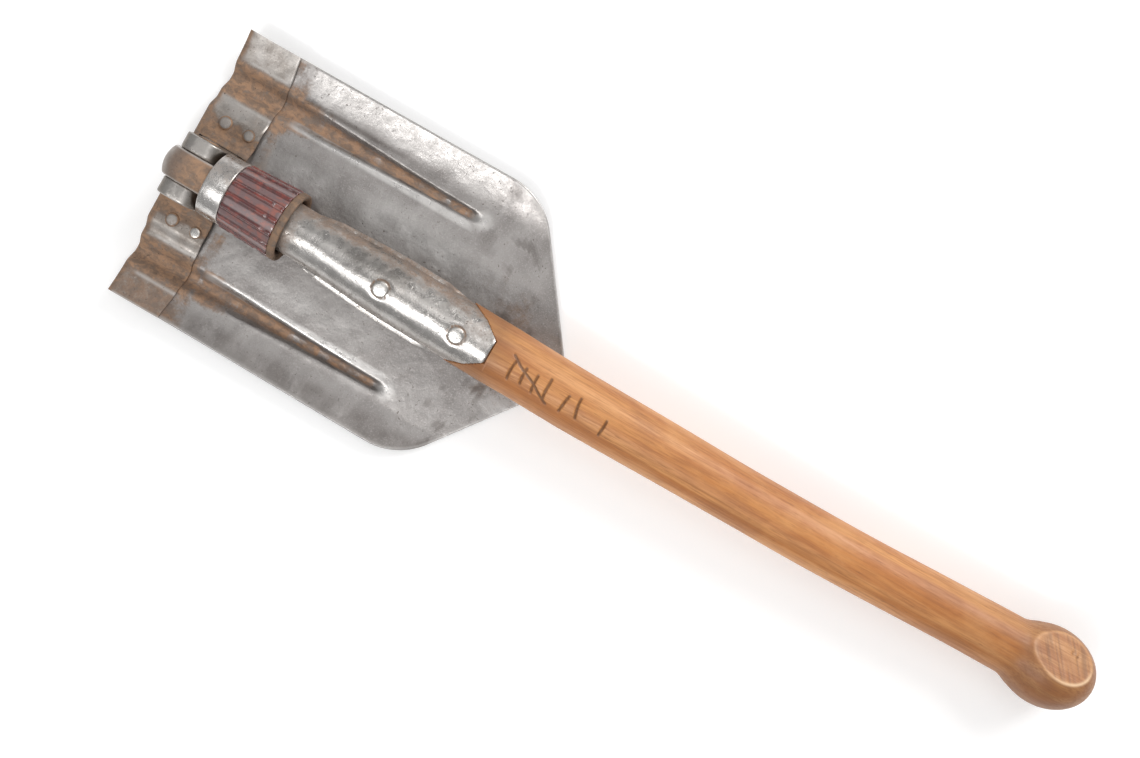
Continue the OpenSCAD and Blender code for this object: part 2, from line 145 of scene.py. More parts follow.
class Material:
    """A principled material whose patterns are read in the object's own millimetres."""

    def __init__(self, name, metallic=0.0, roughness=0.5, ior=1.45):
        self.mat = bpy.data.materials.new(name)
        self.mat.use_nodes = True
        self.tree = self.mat.node_tree
        self.shader = self.tree.nodes["Principled BSDF"]
        self.shader.inputs["Metallic"].default_value = metallic
        self.shader.inputs["Roughness"].default_value = roughness
        self.shader.inputs["IOR"].default_value = ior
        self.coord = self.tree.nodes.new("ShaderNodeTexCoord").outputs["Object"]

    def link(self, value, socket):
        if isinstance(value, bpy.types.NodeSocket):
            self.tree.links.new(value, socket)
        elif isinstance(value, (tuple, list)) and socket.type == "RGBA":
            socket.default_value = (*value, 1)
        else:
            socket.default_value = value

    def place(self, size, stretch):
        node = self.tree.nodes.new("ShaderNodeMapping")
        self.tree.links.new(self.coord, node.inputs["Vector"])
        scale = 1 / (size * MM)
        node.inputs["Scale"].default_value = [scale / s for s in stretch]
        return node.outputs["Vector"]

    def noise(self, size, detail=5.0, rough=0.6, stretch=(1, 1, 1), warp=0.0, offset=0.0):
        node = self.tree.nodes.new("ShaderNodeTexNoise")
        node.noise_dimensions = "4D"
        node.inputs["W"].default_value = offset
        node.inputs["Scale"].default_value = 1.0
        node.inputs["Detail"].default_value = detail
        node.inputs["Roughness"].default_value = rough
        node.inputs["Distortion"].default_value = warp
        self.tree.links.new(self.place(size, stretch), node.inputs["Vector"])
        return node.outputs["Fac"]

    def ramp(self, fac, low, high, a=0.0, b=1.0):
        node = self.tree.nodes.new("ShaderNodeMapRange")
        node.interpolation_type = "SMOOTHSTEP"
        self.link(fac, node.inputs["Value"])
        node.inputs["From Min"].default_value = low
        node.inputs["From Max"].default_value = high
        node.inputs["To Min"].default_value = a
        node.inputs["To Max"].default_value = b
        return node.outputs["Result"]

    def math(self, op, a, b=0.0, c=0.0):
        node = self.tree.nodes.new("ShaderNodeMath")
        node.operation = op
        node.use_clamp = op in ("ADD", "SUBTRACT")
        self.link(a, node.inputs[0])
        self.link(b, node.inputs[1])
        self.link(c, node.inputs[2])
        return node.outputs["Value"]

    def mix(self, fac, a, b):
        node = self.tree.nodes.new("ShaderNodeMix")
        node.data_type = "RGBA"
        self.link(fac, node.inputs["Factor"])
        self.link(a, node.inputs[MIX_COLOUR_A])
        self.link(b, node.inputs[MIX_COLOUR_B])
        return node.outputs[MIX_COLOUR_OUT]

    def mask(self, name):
        node = self.tree.nodes.new("ShaderNodeAttribute")
        node.attribute_name = name
        return node.outputs["Fac"]

    def bump(self, height, depth_mm, strength=1.0):
        node = self.tree.nodes.new("ShaderNodeBump")
        node.inputs["Strength"].default_value = strength
        node.inputs["Distance"].default_value = depth_mm * MM
        self.link(height, node.inputs["Height"])
        before = self.shader.inputs["Normal"].links
        if before:
            self.link(before[0].from_socket, node.inputs["Normal"])
        self.link(node.outputs["Normal"], self.shader.inputs["Normal"])

    def done(self, colour, roughness=None, metallic=None):
        self.link(colour, self.shader.inputs["Base Color"])
        if roughness is not None:
            self.link(roughness, self.shader.inputs["Roughness"])
        if metallic is not None:
            self.link(metallic, self.shader.inputs["Metallic"])
        return self.mat


RUST = (0.40, 0.235, 0.135)
DEEP_RUST = (0.205, 0.135, 0.092)
PATINA = (0.185, 0.135, 0.108)
STALE = (0.215, 0.175, 0.148)
# Polish colour of rubbed steel, also used for painted highlights.
POLISH_AND_HIGHLIGHT = (0.70, 0.68, 0.66)
PIT = (0.085, 0.06, 0.047)
# Near-black grime colour, also used for painted shade.
GRIME_AND_SHADE = (0.06, 0.045, 0.036)
RESIN = (0.075, 0.020, 0.020), (0.19, 0.036, 0.026)
DUSTY_RESIN = (0.175, 0.112, 0.112), (0.30, 0.108, 0.082)
DULL_RESIN = (0.12, 0.06, 0.058)
# Near-black red for painted shade in the creases beside the nut's ribs.
RESIN_CREASE_SHADE = (0.05, 0.014, 0.013)
WOOD_BANDS = (0.45, 0.165, 0.042), (0.62, 0.285, 0.095)
FIBRE_BROWN = (0.30, 0.105, 0.03)
WOOD_LIGHT = (0.68, 0.34, 0.13)
WOOD_DARK = (0.30, 0.115, 0.04)
PORE_BROWN = (0.15, 0.055, 0.02)
FLECK_BROWN = (0.17, 0.075, 0.035)
WOOD_DIRT = (0.10, 0.045, 0.02)
# Bare wood colour, also used for a painted highlight on the knob's facet rim.
BARE_WOOD_AND_HIGHLIGHT = (0.78, 0.56, 0.36)


def worn_steel(name, base, bright, rust_share, roughness=0.4, speckle=0.5):
    """Handled bare steel: grey, polished where rubbed, brown film, rusty and pitted where not; the masks also
    lay painted highlights in the polish colour and painted shade in the rusty and grime colours.
    """
    m = Material(name, metallic=1.0)
    clouds = m.noise(30, 5, 0.6, warp=0.6, offset=1.0)
    mottle = m.noise(6.0, 8, 0.72, offset=2.0)
    grit = m.noise(1.1, 5, 0.75, offset=3.0)
    colour = m.mix(m.ramp(clouds, 0.36, 0.64), base, bright)
    fleck = m.ramp(m.noise(0.75, 3, 0.6, offset=6.0), 0.50, 0.66, 0, 0.6)
    colour = m.mix(fleck, colour, [1.18 * c for c in bright])
    spread = m.math("MULTIPLY_ADD", mottle, 0.6, m.math("MULTIPLY", clouds, 0.2))
    spread = m.math("MULTIPLY_ADD", grit, 0.3, spread)
    spread = m.math("MULTIPLY_ADD", m.mask("rust_and_shade"), 0.45, spread)
    film = m.ramp(spread, 0.76 - 0.2 * rust_share, 0.98 - 0.2 * rust_share)
    keep = m.math("SUBTRACT", 1.0, m.math("MULTIPLY", m.mask("wear_and_sheen"), 0.85))
    film = m.math("MULTIPLY", film, keep)
    blend = m.noise(3.6, 6, 0.68, stretch=(1.5, 1, 1), warp=0.7, offset=8.0)
    rusty = m.mix(m.ramp(blend, 0.38, 0.62), DEEP_RUST, RUST)
    rusty = m.mix(m.ramp(mottle, 0.52, 0.62, 0, 0.75), rusty, STALE)
    rusty = m.mix(m.ramp(grit, 0.45, 0.7, 0, 0.35), rusty, DEEP_RUST)
    stain = m.mix(m.ramp(m.mask("rust_and_shade"), 0.25, 0.75, 0.15, 1.0), PATINA, rusty)
    colour = m.mix(m.math("MULTIPLY", film, 0.9), colour, stain)
    colour = m.mix(m.math("MULTIPLY", m.mask("wear_and_sheen"), 0.85), colour, POLISH_AND_HIGHLIGHT)
    pits = m.ramp(m.noise(1.5, 4, 0.65, offset=4.0), 0.60, 0.70)
    pits = m.math("MULTIPLY", pits, m.ramp(clouds, 0.35, 0.6, 0.3 * speckle, speckle))
    colour = m.mix(pits, colour, PIT)
    colour = m.mix(m.mask("dark"), colour, GRIME_AND_SHADE)
    scratch = m.noise(2.2, 3, 0.55, stretch=(26, 1, 1), offset=5.0)
    rough = m.math("ADD", m.ramp(mottle, 0.3, 0.7, roughness - 0.08, roughness + 0.12),
                   m.math("MULTIPLY", film, 0.22))
    rough = m.math("SUBTRACT", rough, m.math("MULTIPLY", m.mask("wear_and_sheen"), 0.12))
    metal = m.math("SUBTRACT", 1.0, m.math("MULTIPLY", film, 0.7))
    m.bump(m.math("ADD", m.math("MULTIPLY", grit, 0.6), m.math("MULTIPLY", scratch, 0.3)), 0.14, 0.6)
    m.bump(m.math("ADD", mottle, m.math("MULTIPLY", pits, -0.6)), 0.35, 0.4)
    m.bump(m.noise(10, 3, 0.5, offset=7.0), 0.9, 0.5)
    return m.done(colour, rough, metal)


def bakelite():
    """Mottled red-brown moulding: glossy ribs, dusty lands between them, and painted shade darkening the
    creases at the ribs' feet.
    """
    m = Material("bakelite_mottled", roughness=0.3, ior=1.6)
    blotch = m.noise(4.0, 6, 0.65, stretch=(1.3, 1, 1), warp=0.8, offset=1.0)
    grain = m.noise(0.9, 5, 0.7, stretch=(2.5, 1, 1), offset=2.0)
    deep = m.mix(m.ramp(blotch, 0.42, 0.60), *RESIN)
    dusty = m.mix(m.ramp(blotch, 0.47, 0.62), *DUSTY_RESIN)
    dusty = m.mix(m.ramp(grain, 0.4, 0.65, 0, 0.4), dusty, DULL_RESIN)
    colour = m.mix(m.math("MULTIPLY", m.mask("wear_and_sheen"), 0.9), deep, dusty)
    colour = m.mix(m.math("MULTIPLY", m.mask("dirt_and_shade"), 0.65), colour, RESIN_CREASE_SHADE)
    rough = m.math("ADD", m.ramp(grain, 0.3, 0.7, 0.14, 0.24), m.math("MULTIPLY", m.mask("wear_and_sheen"), 0.12))
    m.shader.inputs["Coat Weight"].default_value = 0.7
    m.shader.inputs["Coat Roughness"].default_value = 0.1
    m.bump(grain, 0.06, 0.5)
    return m.done(colour, rough)


def oiled_wood():
    """Orange-brown ash: long fine grain, darker bands, pores, grime in cuts and on the knob, and a whitish
    facet rim that is bare chipped wood with a painted highlight.
    """
    m = Material("wood_oiled", roughness=0.4, ior=1.5)
    bands = m.noise(8.0, 4, 0.55, stretch=(22, 1, 1), warp=0.8, offset=1.0)
    fibre = m.noise(1.1, 6, 0.68, stretch=(20, 1, 1), warp=0.5, offset=2.0)
    pores = m.ramp(m.noise(0.6, 3, 0.6, stretch=(16, 1, 1), offset=3.0), 0.60, 0.72)
    clouds = m.noise(26, 5, 0.6, stretch=(2.0, 1, 1), warp=0.5, offset=4.0)
    colour = m.mix(m.ramp(bands, 0.36, 0.64), *WOOD_BANDS)
    colour = m.mix(m.ramp(fibre, 0.40, 0.66, 0.0, 0.65), colour, FIBRE_BROWN)
    colour = m.mix(m.ramp(clouds, 0.46, 0.66, 0, 0.45), colour, WOOD_LIGHT)
    colour = m.mix(m.ramp(clouds, 0.5, 0.34, 0, 0.45), colour, WOOD_DARK)
    colour = m.mix(m.math("MULTIPLY", pores, 0.5), colour, PORE_BROWN)
    flecks = m.ramp(m.noise(2.8, 5, 0.7, stretch=(3, 1, 1), offset=5.0), 0.63, 0.74, 0, 0.55)
    colour = m.mix(flecks, colour, FLECK_BROWN)
    colour = m.mix(m.mask("dirt_and_shade"), colour, WOOD_DIRT)
    colour = m.mix(m.mask("bare_and_highlight"), colour, BARE_WOOD_AND_HIGHLIGHT)
    rough = m.math("ADD", m.ramp(fibre, 0.3, 0.7, 0.38, 0.55), m.math("MULTIPLY", m.mask("bare_and_highlight"), 0.2))
    m.bump(m.math("ADD", m.math("MULTIPLY", fibre, 0.7), m.math("MULTIPLY", pores, -0.5)), 0.12, 0.5)
    m.bump(m.noise(3.5, 4, 0.6, stretch=(4, 1, 1), offset=6.0), 0.25, 0.35)
    return m.done(colour, rough)


MATERIALS = {
    "blade": worn_steel("steel_blade", (0.255, 0.237, 0.227), (0.355, 0.336, 0.324), 0.45, 0.4, 0.75),
    "plate": worn_steel("steel_rusted", (0.24, 0.21, 0.185), (0.36, 0.325, 0.295), 0.9, 0.46, 1.0),
    "bracket": worn_steel("steel_bracket", (0.22, 0.195, 0.17), (0.34, 0.31, 0.28), 0.95, 0.38, 0.7),
    "tongue": worn_steel("steel_brown", (0.23, 0.19, 0.16), (0.31, 0.265, 0.23), 1.0, 0.42, 0.5),
    "ring": worn_steel("steel_bright", (0.34, 0.32, 0.305), (0.60, 0.58, 0.56), 0.35, 0.26, 0.7),
    "socket": worn_steel("steel_socket", (0.30, 0.278, 0.258), (0.46, 0.44, 0.42), 0.62, 0.28, 1.0),
    "rivet": worn_steel("steel_rivet", (0.40, 0.38, 0.35), (0.55, 0.53, 0.5), 0.2, 0.3, 0.3),
    "bakelite": bakelite(),
    "wood": oiled_wood(),
}


# ---------------------------------------------------------------- mesh helpers
def add_masks(mesh, masks):
    """Stores each mask, one value from 0 to 1 per vertex, for the materials to read."""
    for key, values in masks.items():
        layer = mesh.attributes.new(key, "FLOAT", "POINT")
        layer.data.foreach_set("value", np.clip(np.asarray(values, float).ravel(), 0, 1))


def store(name, points, faces, material, body, nodes, masks=None, sharp=34):
    """Makes a piece from points in mm, marks sharp edges, rides it and hides the CAD nodes."""
    mesh = bpy.data.meshes.new(name)
    mesh.from_pydata((np.asarray(points) * MM).tolist(), [], faces)
    bm = bmesh.new()
    bm.from_mesh(mesh)
    bmesh.ops.recalc_face_normals(bm, faces=bm.faces)
    bm.to_mesh(mesh)
    bm.free()
    mesh.polygons.foreach_set("use_smooth", [True] * len(mesh.polygons))
    mesh.set_sharp_from_angle(angle=math.radians(sharp))
    add_masks(mesh, masks or {})
    mesh.materials.append(MATERIALS[material])
    obj = bpy.data.objects.new(name, mesh)
    bpy.context.scene.collection.objects.link(obj)
    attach(obj, body)
    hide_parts(*nodes)
    return obj


def loft(rings, caps=True):
    """Points and faces joining closed rings of points; rings is (rows, columns, 3)."""
    m, n = rings.shape[:2]
    index = np.arange(m * n).reshape(m, n)
    faces = []
    for i in range(m - 1):
        for j in range(n):
            k = (j + 1) % n
            faces.append((index[i, j], index[i, k], index[i + 1, k], index[i + 1, j]))
    faces = [tuple(int(v) for v in f) for f in faces]
    if caps:
        faces.append(tuple(int(v) for v in index[0][::-1]))
        faces.append(tuple(int(v) for v in index[-1]))
    return rings.reshape(-1, 3), faces


def closed_loft(rings):
    """Points and faces of rings of which the last is joined to the first."""
    points, faces = loft(np.concatenate([rings, rings[:1]]), caps=False)
    last = len(points) - rings.shape[1]
    return points[:last], [tuple(v % last for v in f) for f in faces]


def lathe_rings(xs, rs, steps):
    """Rings about the handle axis, from the pin: xs along it, rs outwards."""
    angle = np.linspace(0, 2 * math.pi, steps, endpoint=False)
    xs = np.asarray(xs, float)[:, None]
    rs = np.asarray(rs, float)
    rs = rs[:, None] if rs.ndim == 1 else rs
    return np.stack([xs + 0 * angle, rs * np.cos(angle), rs * np.sin(angle)], axis=-1)


def rounded(profile, radius, steps=4):
    """A closed profile of (x, r) corners with every corner rounded by radius."""
    out = []
    n = len(profile)
    for i in range(n):
        p, a, b = (np.array(profile[k % n], float) for k in (i, i - 1, i + 1))
        u, v = a - p, b - p
        cut = min(radius, 0.45 * np.linalg.norm(u), 0.45 * np.linalg.norm(v))
        u, v = u / np.linalg.norm(u) * cut, v / np.linalg.norm(v) * cut
        for t in np.linspace(0, 1, steps):
            out.append(p + u * (1 - t) ** 2 + v * t ** 2)
    return np.array(out)


def lathe_solid(profile, radius, steps=160):
    """Points and faces of a turned ring from its closed (x, r) profile."""
    loop = rounded(profile, radius)
    angle = np.linspace(0, 2 * math.pi, steps, endpoint=False)
    rings = np.stack([np.broadcast_to(loop[:, 0], (steps, len(loop))),
                      np.cos(angle)[:, None] * loop[:, 1],
                      np.sin(angle)[:, None] * loop[:, 1]], axis=-1)
    return closed_loft(rings)


def roll(points, angle):
    """Turns points about the handle axis."""
    c, s = math.cos(angle), math.sin(angle)
    out = points.copy()
    out[..., 1] = points[..., 1] * c - points[..., 2] * s
    out[..., 2] = points[..., 1] * s + points[..., 2] * c
    return out


def leaned(points):
    """The socket and what it holds sit turned a little to the side."""
    c, s = math.cos(LEAN), math.sin(LEAN)
    out = points.copy()
    out[..., 0] = LEAN_X + (points[..., 0] - LEAN_X) * c + points[..., 1] * s
    out[..., 1] = (LEAN_X - points[..., 0]) * s + points[..., 1] * c
    return out


# ---------------------------------------------------------------- blade and shoulder plate
FRONT_HALF_W = BLADE_W / 2 + 2
CORNER_X = BLADE_LEN - 53.7
POINT_X = BLADE_LEN + 3.4
CORNER_R = 35.0
TIP_R = 14.0
SIDE_ANGLE = math.atan(2 / CORNER_X)
FRONT_ANGLE = math.atan(FRONT_HALF_W / (POINT_X - CORNER_X))
ARC_REACH = CORNER_R * math.tan((FRONT_ANGLE + SIDE_ANGLE) / 2)
ARC_X1 = CORNER_X - ARC_REACH * math.cos(SIDE_ANGLE)
ARC_X2 = CORNER_X + ARC_REACH * math.cos(FRONT_ANGLE)
ARC_CX = ARC_X1 + CORNER_R * math.sin(SIDE_ANGLE)
ARC_CY = FRONT_HALF_W - ARC_REACH * math.sin(SIDE_ANGLE) - CORNER_R * math.cos(SIDE_ANGLE)
TIP_CX = POINT_X - TIP_R / math.sin(FRONT_ANGLE)
TIP_X3 = TIP_CX + TIP_R * math.sin(FRONT_ANGLE)
TIP_END = TIP_CX + TIP_R - 0.15


def half_w(x):
    x = np.asarray(x, float)
    side = BLADE_W / 2 + np.maximum(x, 0) * math.tan(SIDE_ANGLE)
    arc = ARC_CY + np.sqrt(np.maximum(0, CORNER_R ** 2 - (x - ARC_CX) ** 2))
    front = (POINT_X - x) * math.tan(FRONT_ANGLE)
    tip = np.sqrt(np.maximum(0, TIP_R ** 2 - (x - TIP_CX) ** 2))
    return np.where(x < ARC_X1, side, np.where(x < ARC_X2, arc, np.where(x < TIP_X3, front, tip)))


def groove_shape(x, y):
    """0 outside the grooves, 1 along their bottom."""
    half = 8.5 - 5 * smooth(x / GROOVE_END)
    u = np.clip((np.abs(y) - GROOVE_Y) / half, -1, 1)
    return smooth(1.15 * (1 - np.abs(u))) * smooth((GROOVE_END - x) / 9)


def face_z(x, y):
    side = np.maximum(0, (np.abs(y) - FLAT_HALF_W) / (FRONT_HALF_W - FLAT_HALF_W))
    deep = GROOVE_DEPTH * (1 - 0.5 * smooth((x - 40) / (GROOVE_END - 40)))
    return DISH_RISE * side ** 1.5 - deep * groove_shape(x, y)


def dents(x, y):
    """Shallow unevenness of used sheet metal; it fades out at the rim."""
    return (0.32 * noise_field(x, y, 0, 34, 3.1) + 0.12 * noise_field(x, y, 0, 13, 8.4))


def sheet_rings(xs, columns, height):
    """Rings round a sheet whose upper face is height(x, y), with rounded long edges."""
    edge_turn = np.radians(np.linspace(70, -70, 6))
    v = np.linspace(-1, 1, columns)
    rings = []
    for x in xs:
        half = float(half_w(x))
        inner = max(half - SHEET_RIM, 0.2 * half)
        y = v * inner
        top = height(x, y)
        rim_y = half - inner
        mid = SHEET_T / 2
        right = np.stack([inner + rim_y * np.cos(edge_turn), top[-1] - mid + mid * np.sin(edge_turn)], 1)
        left = np.stack([-inner - rim_y * np.cos(edge_turn[::-1]),
                         top[0] - mid + mid * np.sin(edge_turn[::-1])], 1)
        yz = np.concatenate([np.stack([y, top], 1), right,
                             np.stack([y, top - SHEET_T], 1)[::-1], left])
        rings.append(np.column_stack([np.full(len(yz), x), yz]))
    return np.array(rings)


def dent_lookup():
    """Dents on a coarse table, so that every row of the sheet reads them quickly."""
    gx = np.arange(-8, 232, DENT_STEP)
    gy = np.arange(-84, 87, DENT_STEP)
    table = dents(gx[:, None], gy[None, :])

    def read(x, y):
        fx = np.clip((x - gx[0]) / DENT_STEP, 0, len(gx) - TABLE_EDGE)
        fy = np.clip((y - gy[0]) / DENT_STEP, 0, len(gy) - TABLE_EDGE)
        ix, iy = int(fx), fy.astype(int)
        tx, ty = smooth(fx - ix), smooth(fy - iy)
        low = table[ix, iy] * (1 - ty) + table[ix, iy + 1] * ty
        high = table[ix + 1, iy] * (1 - ty) + table[ix + 1, iy + 1] * ty
        return (low * (1 - tx) + high * tx) * smooth((x - 30) / 14)

    return read


DENT_STEP = 3.0
TABLE_EDGE = 1.001
read_dents = dent_lookup()


def blade_height(x, y):
    return face_z(x, y) + read_dents(x, y)


def blade_masks(x, y):
    """Where the blade is rusty, rubbed bright or dirty, and where light and shade are painted on: highlights
    on the upper (+Y) strip, the centre panel and the grooves' inner sides and ends, shade on the lower (-Y)
    strip and beside the upper groove.
    """
    groove = groove_shape(x, y)
    edge = half_w(x) - np.abs(y)
    level = np.zeros_like(x)
    blot = coarse_noise(x, y, level, 9.0, 1.7, 3, 3)
    slow = coarse_noise(x, y, level, 24.0, 6.2, 3, 3)
    far = np.abs(np.abs(y) - GROOVE_Y)
    along_groove = smooth((x - 34) / 8) * smooth((GROOVE_END - x) / 8)

    rust_and_shade = smooth(groove * 2.2 - 0.5) * (0.72 + 0.5 * blot)
    by_plate = smooth((43 - x + 9 * slow) / 12) * smooth((x - 20) / 4)
    rust_and_shade = np.maximum(rust_and_shade, by_plate * (0.5 + 0.5 * blot + 0.3 * smooth((16 - far) / 6)))
    rust_and_shade = np.maximum(rust_and_shade, smooth((x - 130) / 60) * smooth(0.35 + slow) * 0.5)
    rust_and_shade = np.maximum(rust_and_shade, 0.75 * smooth((x - 30) / 8) * smooth((66 - x) / 26) * smooth((12 - far) / 5))

    # The upper (+Y) strip made brighter: a painted highlight.
    upper_strip = smooth((y - 58.5 + 3 * blot) / 6) * smooth((x - 33) / 8)
    wear_and_sheen = 0.36 * upper_strip * smooth((165 - x + 25 * slow) / 50)
    wear_and_sheen = np.maximum(wear_and_sheen, 0.12 * upper_strip)
    # Bright patches on the centre panel: painted highlights.
    patch = np.exp(-((x - 52) / 20) ** 2 - ((y - 22) / 9) ** 2)
    patch = np.maximum(patch, 0.9 * np.exp(-((x - 118) / 34) ** 2 - ((y - 27) / 10) ** 2))
    patch = np.maximum(patch, 0.5 * np.exp(-((x - 75) / 40) ** 2 - ((y + 33) / 6) ** 2))
    wear_and_sheen = np.maximum(wear_and_sheen, 0.75 * patch * (0.7 + 0.6 * blot))
    wear_and_sheen = np.maximum(wear_and_sheen, 0.55 * smooth((2.4 - edge + blot) / 2))
    # A bright line along the inner side of each groove: a painted highlight.
    ridge = smooth((far - 3.0) / 1.5) * smooth((8.5 - far) / 2) * smooth((GROOVE_Y - np.abs(y)) / 3)
    wear_and_sheen = np.maximum(wear_and_sheen, 0.8 * ridge * along_groove)
    # Bright round ends of the grooves: a painted highlight.
    groove_tip = np.hypot(x - GROOVE_END, np.abs(y) - GROOVE_Y)
    wear_and_sheen = np.maximum(wear_and_sheen, 0.8 * smooth((7 - groove_tip) / 6))

    dark = 0.4 * smooth((blot - 0.2) / 0.35) * smooth((x - 120) / 60)
    # The lower (-Y) strip darkened: painted shade.
    dark = np.maximum(dark, 0.3 * smooth((-60 - y) / 8) * (0.8 + blot))
    # A dark line just outside the upper (+Y) groove: painted shade.
    beside = smooth((far - 6.5) / 1.5) * smooth((11 - far) / 2.5) * smooth((y - GROOVE_Y) / 2)
    dark = np.maximum(dark, 0.55 * beside * along_groove * smooth((110 - x) / 40))
    return {"rust_and_shade": rust_and_shade, "wear_and_sheen": wear_and_sheen, "dark": dark}


def make_blade():
    xs = np.concatenate([[0.6], np.arange(2, 178, 1.0), np.arange(178, TIP_CX + 4, 1.0),
                         TIP_CX + TIP_R * np.cos(np.radians(np.arange(70, 8, -4))), [TIP_END - 0.1]])
    rings = sheet_rings(xs, 241, blade_height)
    points, faces = loft(rings)
    store("blade_sheet", points + SHOULDER, faces, "blade", "blade_assembly",
          ["blade"], blade_masks(rings[..., 0], rings[..., 1]))


def plate_lift(y):
    return BASE_T * (1 - smooth((np.abs(y) - BASE_HALF_W) / 7))


def ear_lip(x, y):
    near = 1 - smooth((np.abs(y) - EAR_OUT - 0.5) / 7)
    return 3.4 * near ** 1.5 * smooth((x + 2) / 8) * smooth((LEAF_X + 4 - x) / 6)


def plate_section(y_frac):
    """Closed loop in x and z of the folded plate at a fraction of the half width."""
    y0 = y_frac * float(half_w(0))
    lift = float(plate_lift(y0))
    inner_xs = np.concatenate([[0.7, 1.5, 2.5], np.arange(4, LEAF_X - 0.5, 1.0), [LEAF_X - 0.3]])
    reach = LEAF_X - 1.2 * smooth((abs(y0) - 60) / 14)
    inner_xs = inner_xs * reach / LEAF_X
    top = np.array([float(face_z(x, y0) + lift + ear_lip(x, y0)) for x in inner_xs]) + GAP
    mid = float(face_z(0, y0)) + (lift - SHEET_T) / 2
    r_in = (SHEET_T + lift) / 2 + GAP
    r_out = r_in + PLATE_T
    bend = np.radians(np.linspace(90, 270, 15))
    low_xs = np.array([1.0, 2.0, 3.0, 4.0, LOWER_LEAF_X])
    low = np.array([float(face_z(x, y0)) for x in low_xs]) - SHEET_T - GAP
    up_out = np.stack([inner_xs, top + PLATE_T], 1)[::-1]
    nose = np.array([[reach + 0.25, top[-1] + PLATE_T * 0.8], [reach + 0.35, top[-1] + PLATE_T / 2],
                     [reach + 0.2, top[-1] + 0.15]])
    bend_out = np.stack([r_out * np.cos(bend), mid + r_out * np.sin(bend)], 1)
    low_out = np.stack([low_xs, low - PLATE_T], 1)
    low_in = np.stack([low_xs, low], 1)[::-1]
    bend_in = np.stack([r_in * np.cos(bend), mid + r_in * np.sin(bend)], 1)[::-1]
    up_in = np.stack([inner_xs, top], 1)
    loop = np.concatenate([up_out, bend_out, low_out, low_in, bend_in, up_in, nose[::-1]])
    return np.column_stack([loop[:, 0], np.full(len(loop), y0), loop[:, 1]])


def cut_box(obj, low, high):
    """Cuts a box, given in row-frame mm, out of a piece."""
    bpy.ops.mesh.primitive_cube_add(size=1)
    box = bpy.context.object
    box.dimensions = [(h - l) * MM for l, h in zip(low, high)]
    box.location = [(h + l) / 2 * MM for l, h in zip(low, high)]
    cut = obj.modifiers.new("cut", "BOOLEAN")
    cut.operation = "DIFFERENCE"
    cut.object = box
    cut.solver = "EXACT"
    apply_modifiers(obj)
    bpy.data.objects.remove(box)


def apply_modifiers(obj):
    bpy.context.view_layer.update()
    graph = bpy.context.evaluated_depsgraph_get()
    mesh = bpy.data.meshes.new_from_object(obj.evaluated_get(graph))
    obj.modifiers.clear()
    obj.data = mesh


def make_plate():
    fracs = np.linspace(-1, 1, 301)
    rings = np.array([plate_section(v) for v in fracs])
    x, y, z = rings[..., 0], rings[..., 1], rings[..., 2]
    blot = coarse_noise(x, y, z, 7.0, 2.9, 2)
    far = np.abs(np.abs(y) - GROOVE_Y)
    rust_and_shade = smooth((11.5 - far) / 4) * (0.8 + 0.4 * blot)
    rust_and_shade = np.maximum(rust_and_shade, smooth((31 - np.abs(y) + 4 * blot) / 5) * (0.75 + 0.4 * blot))
    rust_and_shade = np.maximum(rust_and_shade, 0.6 * smooth((3 - x) / 4))
    # The doubler's lower (-Y) side made browner: painted shade in a rusty colour.
    rust_and_shade = np.maximum(rust_and_shade, np.where(y < -58, 0.45, 0.1))
    wear_and_sheen = 0.5 * smooth((far - 9) / 2) * smooth((12.5 - far) / 2) * smooth((x - 3) / 4)
    # The doubler's upper (+Y) side made brighter: a painted highlight.
    wear_and_sheen = np.maximum(wear_and_sheen, 0.45 * smooth((y - 58) / 5) * (0.7 + blot))
    wear_and_sheen = np.maximum(wear_and_sheen, 0.4 * smooth((np.abs(y) - 31) / 3) * smooth((42 - np.abs(y)) / 3) * (0.7 + blot))
    wear_and_sheen = np.maximum(wear_and_sheen, 0.5 * smooth((1.2 - half_w(0) + np.abs(y)) / 1.0))
    wear_and_sheen = wear_and_sheen * smooth((x + 1) / 2)
    dark = 0.25 * smooth((blot - 0.3) / 0.3)
    points, faces = loft(rings)
    obj = store("shoulder_doubler", points + SHOULDER, faces, "plate", "blade_assembly",
                ["shoulder_plate"], {"rust_and_shade": rust_and_shade, "wear_and_sheen": wear_and_sheen, "dark": dark})
    half = EAR_OUT + 0.35
    low = SHOULDER + np.array([0.6, -half, -SHEET_T / 2])
    high = SHOULDER + np.array([LEAF_X + 5, half, 20])
    cut_box(obj, low, high)


make_blade()
make_plate()


# ---------------------------------------------------------------- hinge bracket, rivets, pin
def bevelled(obj, width, segments):
    mod = obj.modifiers.new("bevel", "BEVEL")
    mod.width = width * MM
    mod.segments = segments
    mod.limit_method = "ANGLE"
    mod.angle_limit = math.radians(30)
    mod.harden_normals = False
    apply_modifiers(obj)
    obj.data.polygons.foreach_set("use_smooth", [True] * len(obj.data.polygons))
    obj.data.set_sharp_from_angle(angle=math.radians(50))


def arc(cx, cz, r, start, stop, steps):
    """Points of an arc in the x-z plane, angles in degrees."""
    turn = np.radians(np.linspace(start, stop, steps))
    return [(cx + r * math.cos(t), cz + r * math.sin(t)) for t in turn]


def ear_profile():
    corner = 7.4
    inner = CAM_HALF - corner
    foot = BASE_T - PIN_HEIGHT
    right = arc(inner, inner, corner, 0, 90, 14)
    left = arc(-inner, inner, corner, 90, 180, 14)
    leg = [(-CAM_HALF, -8), (-CAM_HALF, -15.4), (-10.8, foot + 3.2), (-12.2, foot + 0.6), (-12.4, foot - 0.6)]
    return right + left + leg + [(-x, z) for x, z in reversed(leg)]


